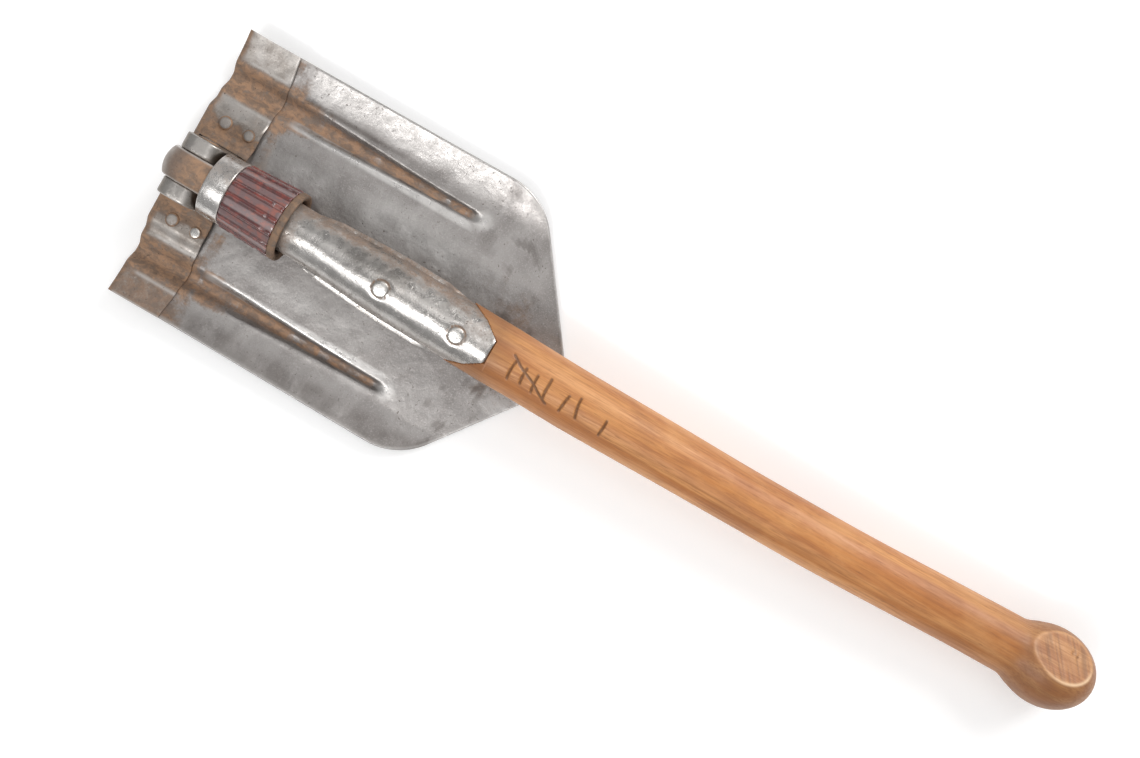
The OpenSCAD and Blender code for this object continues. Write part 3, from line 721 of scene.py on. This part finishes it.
def subdivided(obj, cuts):
    bm = bmesh.new()
    bm.from_mesh(obj.data)
    bmesh.ops.triangulate(bm, faces=bm.faces)
    bmesh.ops.subdivide_edges(bm, edges=[e for e in bm.edges if e.calc_length() > 2.5 * MM], cuts=cuts)
    bm.to_mesh(obj.data)
    bm.free()


def make_bracket():
    profile = ear_profile()
    n = len(profile)
    points, faces = [], []
    for side in (-1, 1):
        start = len(points)
        for y in (side * EAR_IN, side * EAR_OUT):
            points += [(x, y, z) for x, z in profile]
        faces.append(tuple(range(start, start + n)))
        faces.append(tuple(range(start + 2 * n - 1, start + n - 1, -1)))
        for i in range(n):
            j = (i + 1) % n
            faces.append((start + i, start + j, start + n + j, start + n + i))
    start = len(points)
    low = (0.6 - SETBACK, -BASE_HALF_W, GAP - PIN_HEIGHT)
    high = (26.6 - SETBACK, BASE_HALF_W, BASE_T - PIN_HEIGHT)
    for x in (low[0], high[0]):
        for y in (low[1], high[1]):
            for z in (low[2], high[2]):
                points.append((x, y, z))
    corners = ((0, 1, 3, 2), (4, 6, 7, 5), (0, 4, 5, 1), (2, 3, 7, 6), (0, 2, 6, 4), (1, 5, 7, 3))
    faces += [tuple(start + c for c in f) for f in corners]
    obj = store("hinge_ears", np.array(points) + PIN, faces, "bracket", "blade_assembly",
                ["hinge_bracket"])
    bevelled(obj, 1.1, 4)
    subdivided(obj, 2)
    co = np.array([v.co for v in obj.data.vertices]) / MM - PIN
    height = co[:, 2] + PIN_HEIGHT
    layers = {"rust_and_shade": 0.85 * smooth((11 - height) / 7),
              "wear_and_sheen": 0.45 * smooth((co[:, 2] - 8.2) / 1.8) * smooth((17.2 - abs(co[:, 1])) / 1.2)
              + 0.3 * smooth((np.abs(co[:, 1]) - 15.9) / 0.5) * smooth((co[:, 2] + 2) / 6)}
    add_masks(obj.data, layers)


def disc_solid(profile, steps=64):
    """Solid of revolution about z from (r, z) points that start and end on the axis."""
    angle = np.linspace(0, 2 * math.pi, steps, endpoint=False)
    points = [(0, 0, profile[0][1])]
    for r, z in profile[1:-1]:
        points += [(r * math.cos(a), r * math.sin(a), z) for a in angle]
    points.append((0, 0, profile[-1][1]))
    rows = len(profile) - 2
    faces = []
    for j in range(steps):
        k = (j + 1) % steps
        faces.append((0, 1 + k, 1 + j))
        for i in range(rows - 1):
            a = 1 + i * steps
            faces.append((a + j, a + k, a + steps + k, a + steps + j))
        a = 1 + (rows - 1) * steps
        faces.append((a + j, a + k, len(points) - 1))
    return np.array(points), faces


def domed(r, base, crown):
    """Half profile of a low rivet head, from its rim up to the crown."""
    turn = np.radians(np.linspace(0, 90, 9))
    rim = 0.55 * crown
    return [(r, base), (r, base + rim * 0.4)] + [
        (r - 0.28 * r * (1 - math.cos(t)) if i < 1 else r * math.cos(t * 0.999) ** 0.45,
         base + rim * 0.4 + (crown - rim * 0.4) * math.sin(t)) for i, t in enumerate(turn[1:], 1)]


def make_plate_rivets():
    top = BASE_T + PLATE_T + 2 * GAP
    radii = (3.6, 3.2, 3.6, 3.0)
    places = [(x, s) for s in (1, -1) for x in RIVET_X]
    for i, ((x, s), r) in enumerate(zip(places, radii)):
        head = domed(r, top, 0.88)
        lower = [(p, -SHEET_T - 0.01 - (z - top)) for p, z in domed(r, top, 0.9)]
        profile = lower[::-1] + [(2.48, -SHEET_T - 0.01), (2.48, top)] + head
        profile[0] = (0, profile[0][1])
        profile[-1] = (0, profile[-1][1])
        points, faces = disc_solid(profile)
        wobble = 1 + 0.03 * np.sin(2 * np.arctan2(points[:, 1], points[:, 0]) + i)
        points[:, 0] *= np.where(np.abs(points[:, 0]) > 2.6, np.minimum(wobble, 1), 1)
        radius = np.hypot(points[:, 0], points[:, 1])
        masks = {"rust_and_shade": 0.9 * smooth((radius - r + 0.9) / 0.7) + (0.25 if i == 2 else 0.1),
                 "wear_and_sheen": (0.8 if i == 3 else 0.25) * smooth((r - 0.8 - radius) / 0.8)}
        place = SHOULDER + np.array([x, s * RIVET_Y, 0])
        store(f"plate_rivet_head_{i + 1}", points + place, faces,
              "rivet" if i == 3 else "plate", "blade_assembly",
              [f"plate_rivet_{i + 1}"], masks)


def make_hinge_pin():
    half = EAR_OUT + 0.9
    head = [(PIN_R, EAR_OUT - 0.5), (PIN_R, EAR_OUT + GAP), (PIN_R + 1, EAR_OUT + GAP),
            (PIN_R + 0.9, half - 0.45), (PIN_R + 0.4, half - 0.2), (PIN_R - 0.8, half), (0, half)]
    profile = [(r, -z) for r, z in head[::-1]] + head
    points, faces = disc_solid(profile)
    points = points[:, [0, 2, 1]]
    radius = np.hypot(points[:, 0], points[:, 2])
    store("cross_pin", points + PIN, faces, "bracket", "blade_assembly",
          ["hinge_pin"], {"wear_and_sheen": 0.6 * smooth((4 - radius) / 2), "rust_and_shade": smooth((radius - 4) / 1)})


make_bracket()
make_plate_rivets()
make_hinge_pin()


# ---------------------------------------------------------------- spigot, ring and nut
def make_spigot():
    turn = np.radians(np.linspace(178, 90, 40))
    xs = list(SPIGOT_R * np.cos(turn)) + list(np.linspace(1, TONGUE_END, 10))
    rs = list(SPIGOT_R * np.sin(turn)) + [SPIGOT_R] * 10
    flat_rows = len(xs)
    xs += [TONGUE_END, 16, 21, 21.4]
    rs += [SPIGOT_R, SPIGOT_R, SPIGOT_R, 13.8]
    for start in np.arange(22.5, 46, THREAD_PITCH):
        xs += [start, start + 1, start + 1.9, start + 3]
        rs += [THREAD_R, THREAD_R, THREAD_ROOT_R, THREAD_ROOT_R]
    xs += [49.6, 50.4, LEAN_X - 1, LEAN_X + 1, SHANK_END, SHANK_END + 0.3, TANG_END]
    rs += [THREAD_R, RELIEF_R, RELIEF_R, SHANK_R, SHANK_R, TANG_R, TANG_R]
    rings = lathe_rings(xs, rs, 192)
    flat = rings[:flat_rows, :, 1]
    soft = 0.9
    over = np.abs(flat) - (TONGUE_HALF - soft)
    eased = np.where(over > 0, (TONGUE_HALF - soft) + soft * np.tanh(over / soft), np.abs(flat))
    rings[:flat_rows, :, 1] = np.sign(flat) * np.minimum(eased, TONGUE_HALF)
    x, y = rings[..., 0], rings[..., 1]
    rings = np.where(x[..., None] > LEAN_X, leaned(rings), rings)
    points, faces = loft(rings)
    rust_and_shade = 0.35 + 0.3 * smooth((x + 6) / 10)
    wear_and_sheen = 0.4 * smooth((-6 - x) / 8) + 0.5 * smooth((np.abs(y) - 6.7) / 0.9) * (x < TONGUE_END)
    store("tongue_bar", points + PIN, faces, "tongue", "handle_assembly",
          ["spigot"], {"rust_and_shade": rust_and_shade, "wear_and_sheen": wear_and_sheen}, sharp=40)


def make_ring():
    front, back = RING_X
    profile = [(front, 15.0), (front, RING_R), (back, RING_R), (back, 15.0)]
    points, faces = lathe_solid(profile, 1.0)
    x = points[:, 0]
    # The ring's -Y side is made polished and its +Y side browner: a painted highlight and painted shade.
    upper = smooth((points[:, 1] + 4) / 8)
    masks = {"wear_and_sheen": 0.3 * smooth((np.abs(x - (front + back) / 2) - 4.2) / 1.2) + 0.3 * (1 - upper),
             "rust_and_shade": np.maximum(0.6 * smooth((x - back + 1.2) / 0.8), 0.5 * upper)}
    store("thrust_collar", points + PIN, faces, "ring", "thrust_ring",
          ["thrust_ring"], masks)


def make_nut_core():
    front, seat, back = NUT_X
    profile = [(front, 13.7), (front, 15.65), (seat + GAP, 15.65), (seat + GAP, NUT_R - 0.3),
               (back, NUT_R - 0.3), (back, NUT_R - 2.4), (back - 1.4, NECK_R + 1.6),
               (46, NECK_R + 1.6), (45.6, 13.7)]
    points, faces = lathe_solid(profile, 1.15)
    x, r = points[:, 0], np.hypot(points[:, 1], points[:, 2])
    # Darker towards the bore, on top of an even darkening: painted shade in the opening.
    masks = {"rust_and_shade": 0.9 + 0 * x, "dark": 0.35 + 0.5 * smooth((NECK_R + 2.4 - r) / 1.2)}
    store("nut_insert", points + PIN, faces, "plate", "locking_nut", ["nut_core"], masks)


def make_nut_grip():
    front, back, _ = NUT_X
    steps = RIBS * 44
    xs = np.concatenate([[front, front + 0.1, front + 0.35, front + 0.8],
                         np.linspace(front + 1.4, back - 1.1, 60), [back - 0.5, back - 0.15, back]])
    inset = np.concatenate([[1.0, 0.6, 0.25, 0.05], np.zeros(60), [0.05, 0.2, 0.45]])
    land = NUT_R - 1.4 + 1.4 * (xs - front) / (back - front) - RIB_H - 0.5 * inset
    angle = np.linspace(0, 2 * math.pi, steps, endpoint=False)
    turn = (angle * RIBS / (2 * math.pi) + 0.5) % 1 - 0.5
    off = np.abs(turn) * 2 * math.pi * (NUT_R - 1) / RIBS
    rise = np.sqrt(np.maximum(0, RIB_R ** 2 - off ** 2)) - (RIB_R - RIB_H)
    rise = 0.5 * (rise + np.sqrt(rise ** 2 + 0.03)) - 0.02
    rise = np.where(off < 2.2, rise, 0) * smooth((2.2 - off) / 0.8)
    y, z = np.sin(angle) * NUT_R, np.cos(angle) * NUT_R
    chips = smooth((noise_field(xs[:, None], y[::4], z[::4], 4.0, 5.0) - 0.38) / 0.12)
    chips = np.repeat(chips, 4, 1)
    uneven = np.repeat(noise_field(xs[:, None] * 0.3, y[::4], z[::4], 5.0, 9.0), 4, 1)
    r = land[:, None] + rise * (1 - 0.45 * chips) * (1 - smooth(inset / 1.2))[:, None]
    r = r - 0.12 * np.maximum(0, uneven) - 0.06 * (1 - 4 * turn ** 2)
    outer = np.stack([xs[:, None] + 0 * r, r * np.sin(angle), r * np.cos(angle)], -1)
    inner = np.stack([xs[[-1, 0]][:, None] + 0 * r[:2], SLEEVE_BORE_R * np.sin(angle) + 0 * r[:2],
                      SLEEVE_BORE_R * np.cos(angle) + 0 * r[:2]], -1)
    points, faces = closed_loft(np.concatenate([outer, inner]))
    # Dark lines at the feet of the ribs, and the whole bore, are painted shade.
    crevice = np.exp(-((off - 1.45) / 0.4) ** 2)
    dusty = smooth((off - 1.3) / 0.8) + 0.7 * chips
    dirt_and_shade = np.concatenate([np.broadcast_to(crevice, r.shape), np.ones((2, steps))])
    wear_and_sheen = np.concatenate([np.broadcast_to(dusty, r.shape), np.zeros((2, steps))])
    store("nut_sleeve", points + PIN, faces, "bakelite", "locking_nut",
          ["nut_grip"], {"dirt_and_shade": dirt_and_shade, "wear_and_sheen": wear_and_sheen}, sharp=60)


make_spigot()
make_ring()
make_nut_core()
make_nut_grip()


# ---------------------------------------------------------------- socket shells
def socket_r(x):
    return NECK_R + (SHELL_R - NECK_R) * smooth((x - 60) / 58)


def shell_half_width(x):
    """Half width of the shell's plan: full, then pointed to the rear."""
    return np.interp(x, SHELL_X, SHELL_HALF_W)


# Dents in a shell: place along it, angle round it, size and depth
SHELL_DENTS = ((88, 1.25, 7, 0.35), (126, 1.72, 9, 0.3), (140, 2.0, 6, 0.3), (70, 2.0, 5, 0.25))
LIP_T = 1.1


def lipped(out_y, out_z, r, lip):
    """The outside of a shell's section, with its lowest points moved out onto seam lips."""
    lip_mid = LIP_T * min(1.0, lip / 0.8)
    corners = np.array([(r + lip, GAP + 0.1 * lip_mid), (r + lip, GAP + 0.75 * lip_mid),
                        (r + 0.85 * lip, GAP + lip_mid), (r + 0.35 * lip, GAP + lip_mid + 0.12 * lip)])
    first = int(np.argmax(out_z > GAP + lip_mid + 0.2))
    step = np.linspace(0, 1, first + 1)[:-1] * 3.999
    lip_y = np.interp(step, range(5), [*corners[:, 0], out_y[first]])
    lip_z = np.interp(step, range(5), [*corners[:, 1], out_z[first]])
    ys, zs = out_y.copy(), out_z.copy()
    ys[:first], zs[:first] = lip_y, lip_z
    ys[-first:], zs[-first:] = -lip_y[::-1], lip_z[::-1]
    return ys, zs


def make_shell(name, node, turn, seed):
    """One stamped half: a rounded half tube with seam lips and a pointed rear end."""
    front, side_end, _, tip = SHELL_X
    xs = np.concatenate([[front, front + 0.25, front + 0.8], np.arange(53, side_end, 1.2),
                         np.linspace(side_end, tip - 0.8, 22), [tip - 0.3, tip]])
    loops = []
    for x in xs:
        r = float(socket_r(x))
        edge_soft = 0.5 * (1 - smooth((x - front) / 0.8)) + 0.45 * smooth((x - tip + 0.8) / 0.8)
        start = math.acos(min(1.0, float(shell_half_width(x)) / r)) if x > side_end else 0.0
        lip = 1.9 * float(np.clip(min(1, (x - 64) / 12, (148 - x) / 12), 0, 1))
        turns = np.linspace(start, math.pi - start, 97)
        r_out = r - edge_soft * 0.6
        r_in = r - SHELL_T + edge_soft * 0.3
        out_y, out_z = r_out * np.cos(turns), np.maximum(r_out * np.sin(turns), GAP)
        in_turns = np.linspace(math.pi - start, start, 97)
        in_y, in_z = r_in * np.cos(in_turns), np.maximum(r_in * np.sin(in_turns), GAP)
        if lip >= 0.02:
            out_y, out_z = lipped(out_y, out_z, r, lip)
        loop = np.concatenate([np.stack([out_y, out_z], 1), np.stack([in_y, in_z], 1)])
        loops.append(np.column_stack([np.full(len(loop), x), loop]))
    rings = np.array(loops)
    x, y, z = rings[..., 0], rings[..., 1], rings[..., 2]
    angle = np.arctan2(z, y)
    rivet_angle = math.pi / 2 + RIVET_ROLL
    dent = np.zeros_like(x)
    for cx, ca, size, deep in SHELL_DENTS:
        away = np.hypot(x - cx, (angle - ca - seed) * 14) / size
        dent += deep * np.exp(-away ** 2)
    for cx in SOCKET_RIVET_X:
        away = np.hypot(x - cx, (angle - rivet_angle) * SHELL_R)
        dent += 0.35 * np.exp(-((away - 4.9) / 0.9) ** 2)
    radius = np.hypot(y, z)
    scale = np.where(radius > 1, (radius - dent) / radius, 1)
    rings[..., 1] *= scale
    rings[..., 2] = np.maximum(z * scale, GAP)
    rivet_ring = np.max([np.exp(-((np.hypot(x - cx, (angle - rivet_angle) * SHELL_R) - 4.7) / 0.5) ** 2)
                         for cx in SOCKET_RIVET_X], axis=0)
    # The +Y side of each shell made browner: painted shade laid over rusty staining.
    brown_side = smooth((1.35 - angle) / 0.8) if turn < 1 else smooth((angle - 1.4) / 0.9)
    neck = smooth((66 - x) / 8)
    rust_and_shade = np.maximum(0.5 * brown_side, 0.42 * neck)
    rust_and_shade = np.maximum(rust_and_shade, 0.3 * smooth((x - 140) / 20))
    rust_and_shade = np.maximum(rust_and_shade, rivet_ring)
    # A polished stripe just past the top, on the -Y side: a painted highlight.
    wear_and_sheen = 0.7 * np.exp(-((angle - 1.9) / 0.42) ** 2) * smooth((x - 62) / 8)
    wear_and_sheen = np.maximum(wear_and_sheen * (1 - rivet_ring), 0.6 * smooth((x - tip + 1.2) / 0.8))
    points, faces = loft(rings)
    points = leaned(roll(points, turn))
    store(name, points + PIN, faces, "socket", "handle_assembly", [node],
          {"rust_and_shade": rust_and_shade, "wear_and_sheen": wear_and_sheen, "dark": 0.5 * rivet_ring})


def make_socket_rivets():
    for i, (x, node) in enumerate(zip(SOCKET_RIVET_X, ("socket_rivet_front", "socket_rivet_rear"))):
        head = [(4.1, SHELL_R + GAP), (4.12, SHELL_R + 0.25), (3.85, SHELL_R + 0.5),
                (3.3, SHELL_R + 0.68), (2.2, SHELL_R + 0.76), (1.0, SHELL_R + 0.79), (0, SHELL_R + 0.8)]
        stem = [(2.95, SHELL_R - 1.1), (2.95, SHELL_R + GAP)]
        half = stem + head
        profile = [(r, -z) for r, z in half[::-1]] + half
        points, faces = disc_solid(profile)
        radius = np.hypot(points[:, 0], points[:, 1])
        masks = {"rust_and_shade": smooth((radius - 3.75) / 0.3), "wear_and_sheen": 0.8 * smooth((3.6 - radius) / 0.6)}
        points = leaned(roll(points + np.array([x, 0, 0]), RIVET_ROLL))
        store(f"socket_rivet_{i + 1}", points + PIN, faces, "rivet", "handle_assembly",
              [node], masks)


make_shell("socket_upper", "socket_shell_upper", 0.0, 0.0)
make_shell("socket_lower", "socket_shell_lower", math.pi, 0.3)
make_socket_rivets()


# ---------------------------------------------------------------- wooden handle
def handle_radius(x):
    """Radius of the wood: shaft, easing into an egg-shaped knob."""
    shaft = SLIM_R + (SHAFT_R - SLIM_R) * (1 - smooth((x - 170) / 190))
    shaft = shaft * (1 - smooth((x - KNOB_X + 14) / 14))
    knob = KNOB_R * np.sqrt(np.maximum(0, 1 - ((x - KNOB_X) / KNOB_HALF_LEN) ** 2))
    return (shaft ** 9 + knob ** 9) ** (1 / 9)


SOCKET_SET = math.tan(LEAN) * (SHELL_X[-1] - LEAN_X)


def bow_y(x):
    """Sideways offset of the wood: in line with the socket, then bowed, straight at the knob."""
    in_line = -math.tan(LEAN) * (np.minimum(x, SHELL_X[-1]) - LEAN_X)
    leave = (BOW - SOCKET_SET) * smooth((x - SHELL_X[-1]) / 55)
    return in_line - leave + BOW * smooth((x - KNOB_X + 150) / 150)


# Tally nicks: centre along the handle, round it, length and slant of each straight cut, in mm
TALLY = [(184 + 6.5 * i, 1.2 * math.sin(3 * i), 13 + 2 * math.sin(5 * i), 0.12 * math.sin(7 * i))
         for i in range(4)] + [(194, 0.5, 30, 1.08), (214, -1.0, 12, -0.2), (221, 0.5, 13, 0.15),
                               (236, -2.0, 11, 0.05)]


def nick_depth(x, across):
    """Depth of the knife cuts, 0 to 1, on the shaft's upper side."""
    depth = np.zeros(np.broadcast(x, across).shape)
    for cx, cy, length, slant in TALLY:
        dx, dy = x - cx, across - cy
        along = -dx * math.sin(slant) + dy * math.cos(slant)
        off = dx * math.cos(slant) + dy * math.sin(slant) + 0.35 * np.sin(along * 0.35 + cx)
        inside = smooth((length / 2 - np.abs(along)) / 1.6)
        depth = np.maximum(depth, inside * np.clip(1 - np.abs(off) / 1.0, 0, 1))
    return depth


NECK_X = KNOB_X - 26
CORE_GAP = 0.05
# Dents in the knob's facet: place along the handle and across it, from the knob's middle
FACET_DENTS = ((3.4, 4.6), (6.2, 4.0))


def wood_drift(x, y, z):
    """Slow unevenness of the shaft, smoothed along it and round it."""
    drift = coarse_noise(x, y * 1.5, z * 1.5, 46, 2.2, 4, 6)
    padded = np.pad(drift, ((4, 4), (0, 0)), mode="edge")
    drift = sum(padded[i: i + x.shape[0]] for i in range(9)) / 9
    return sum(np.roll(drift, k, axis=1) for k in range(-6, 7)) / 13


def cut_facet(rings, x):
    """Saws the flat off the knob; returns the rings and what the masks need to know of it."""
    normal = np.array([0, math.sin(FACET_ROLL), math.cos(FACET_ROLL)])
    sideways = np.array([0, math.cos(FACET_ROLL), -math.sin(FACET_ROLL)])
    over = rings @ normal - FACET_DIST
    hit = over > 0
    rings = rings - np.where(hit, over, 0)[..., None] * normal
    along, side = rings[..., 0] - KNOB_X, rings @ sideways
    rim = np.exp(-(over / 0.5) ** 2) * smooth((x - NECK_X) / 12)
    streak = noise_field((along * 0.9 + side * 0.45) * hit, 0.08 * side * hit, 0, 1.2, 4.4)
    saw = 0.12 * (0.5 + streak) * hit
    rings = rings - saw[..., None] * normal
    dent = sum(np.exp(-((along - da) / 0.6) ** 2 - ((side - ds) / 1.3) ** 2)
               for da, ds in FACET_DENTS) * hit
    rings = rings - 0.5 * dent[..., None] * normal
    # The facet's rim, strongest on its lower edge, is bare chipped wood and a painted highlight.
    lower_edge = smooth(0.5 - side / 12) * smooth(0.6 + along / 20)
    bare_and_highlight = rim * (0.15 + 0.7 * lower_edge)
    return rings, hit, rim, streak, dent, bare_and_highlight


def make_handle():
    steps = 300
    end_turn = np.radians(np.linspace(0, 89.4, 50))
    xs = np.concatenate([np.arange(152.2, 172, 0.6), np.arange(172, 246, 0.42), np.arange(246, NECK_X, 1.8),
                         np.linspace(NECK_X, KNOB_X, 40)[:-1], KNOB_X + KNOB_HALF_LEN * np.sin(end_turn)])
    rings = lathe_rings(xs, handle_radius(xs), steps)
    x, y, z = rings[..., 0], rings[..., 1], rings[..., 2]
    radius = np.hypot(y, z)
    offset = 0.3 * (wood_drift(x, y, z) - 0.55) * smooth((x - 172) / 20) * smooth((NECK_X - x) / 20)
    nick = nick_depth(x, np.arctan2(y, z) * radius + 2.0)
    under = (np.abs(y) < shell_half_width(x) + 0.15) & (x < SHELL_X[-1] + 0.3)
    new = radius + np.minimum(offset, 0) - 0.7 * nick
    new = np.where(under, SHELL_R - SHELL_T - CORE_GAP, new)
    rings[..., 1] *= new / np.maximum(radius, 1e-6)
    rings[..., 2] *= new / np.maximum(radius, 1e-6)
    rings[..., 1] += bow_y(x)
    rings, hit, rim, streak, dent, bare_and_highlight = cut_facet(rings, x)

    grime = (0.2 * smooth((x - 390) / 70) + 0.3 * smooth((x - NECK_X + 2) / 16)) * ~hit
    at_socket = 0.45 * np.exp(-np.maximum(0, x - SHELL_X[-1]) / 9) * (x < 230)
    dirt_and_shade = np.maximum(np.maximum(0.75 * smooth(nick * 1.8), grime), at_socket)
    dirt_and_shade = np.maximum(dirt_and_shade, 0.9 * under)
    dirt_and_shade = np.maximum(dirt_and_shade, np.where(hit, 0.26 + 0.3 * smooth(streak * 1.6 + 0.3), 0))
    dirt_and_shade = np.maximum(dirt_and_shade, 0.8 * dent) * (1 - 0.6 * rim)

    core_x = np.array([97.5, 97.5, 118, 152.0])
    core_r = socket_r(core_x) - SHELL_T - CORE_GAP
    core_r[0] = TANG_R + 0.2
    core_r[-1] = SHELL_R - SHELL_T - CORE_GAP
    core = leaned(lathe_rings(core_x, core_r, steps))
    unmarked = np.zeros((len(core_x), steps))
    points, faces = loft(np.concatenate([core, rings]))
    store("wood_shaft", points + PIN, faces, "wood", "handle_assembly", ["handle"],
          {"dirt_and_shade": np.concatenate([unmarked, dirt_and_shade]), "bare_and_highlight": np.concatenate([unmarked, bare_and_highlight])}, sharp=40)


make_handle()


# ---------------------------------------------------------------- floor, light and camera
def rotation_from(vector):
    angle = np.linalg.norm(vector)
    return Matrix.Rotation(angle, 3, Vector(vector))


IMAGE_W = 1140.0
FOCAL_PX = 1300.0
# The camera's place from the hinge pin, and the small turn that takes it off a straight look down
CAMERA_AT = np.array([204.7, 44.0, 638.0])
HEADING = math.radians(29.4)
TRIM = (0.0584, 0.0225, 0.0123)


def make_camera():
    """Looks almost straight down, with the handle running to the lower right of the frame."""
    c, s = math.cos(HEADING), math.sin(HEADING)
    flat = Matrix(((c, s, 0), (s, -c, 0), (0, 0, -1)))
    turned = rotation_from(TRIM) @ flat
    right, down, ahead = turned[0], turned[1], turned[2]
    data = bpy.data.cameras.new("camera")
    data.sensor_width = 36
    data.lens = FOCAL_PX / IMAGE_W * data.sensor_width
    data.clip_start = 0.01
    data.clip_end = 50
    obj = bpy.data.objects.new("camera", data)
    bpy.context.scene.collection.objects.link(obj)
    columns = Matrix((right, -down, -ahead)).transposed().to_4x4()
    columns.translation = Vector((PIN + CAMERA_AT) * MM)
    obj.matrix_world = columns
    bpy.context.scene.camera = obj
    return Vector(right), Vector(down)


def make_floor():
    """Pale floor, tipped a degree so that the fold of the blade and the knob both lie on it."""
    knob_bottom = PIN[2] - KNOB_R
    slope = math.atan(knob_bottom / (HANDLE_REACH + SETBACK - KNOB_R))
    mesh = bpy.data.meshes.new("floor")
    size = 6.0
    mesh.from_pydata([(-size, -size, 0), (size, -size, 0), (size, size, 0), (-size, size, 0)], [],
                     [(0, 1, 2, 3)])
    mat = Material("floor_white", roughness=0.9)
    mat.done((0.93, 0.93, 0.93))
    mat.shader.inputs["Emission Color"].default_value = (1, 1, 1, 1)
    mat.shader.inputs["Emission Strength"].default_value = 0.16
    mesh.materials.append(mat.mat)
    obj = bpy.data.objects.new("floor", mesh)
    obj.rotation_euler = (0, -slope, 0)
    obj.location = ((SHOULDER[0] + 2) * MM, 0, -0.0004)
    bpy.context.scene.collection.objects.link(obj)


def softbox(name, direction, distance, size, power, aim):
    data = bpy.data.lights.new(name, "AREA")
    data.shape = "RECTANGLE"
    data.size, data.size_y = size
    data.energy = power
    obj = bpy.data.objects.new(name, data)
    bpy.context.scene.collection.objects.link(obj)
    away = Vector(direction).normalized()
    obj.location = Vector(aim) + away * distance
    obj.rotation_euler = away.to_track_quat("Z", "Y").to_euler()


def make_light(right, down):
    up = Vector((0, 0, 1))
    aim = (-0.05, 0, 0)
    softbox("key_lower_left", (-0.1, -0.53, 0.84), 1.3, (1.2, 0.8), 3.3, aim)
    softbox("strip_lower_left", (-0.1, -0.5, 0.86), 1.28, (0.6, 0.14), 4.0, aim)
    softbox("fill_upper_right", (0.35, 0.8, 0.58), 1.5, (0.8, 0.7), 14, aim)
    softbox("top", up + right * 0.1 - down * 0.3, 1.9, (0.9, 0.9), 4.0, aim)
    world = bpy.data.worlds.new("soft_white")
    bpy.context.scene.world = world
    world.use_nodes = True
    back = world.node_tree.nodes["Background"]
    back.inputs["Color"].default_value = (1, 1, 1, 1)
    back.inputs["Strength"].default_value = 0.42


right, down = make_camera()
make_floor()
make_light(right, down)
bpy.context.scene.view_settings.view_transform = "Standard"
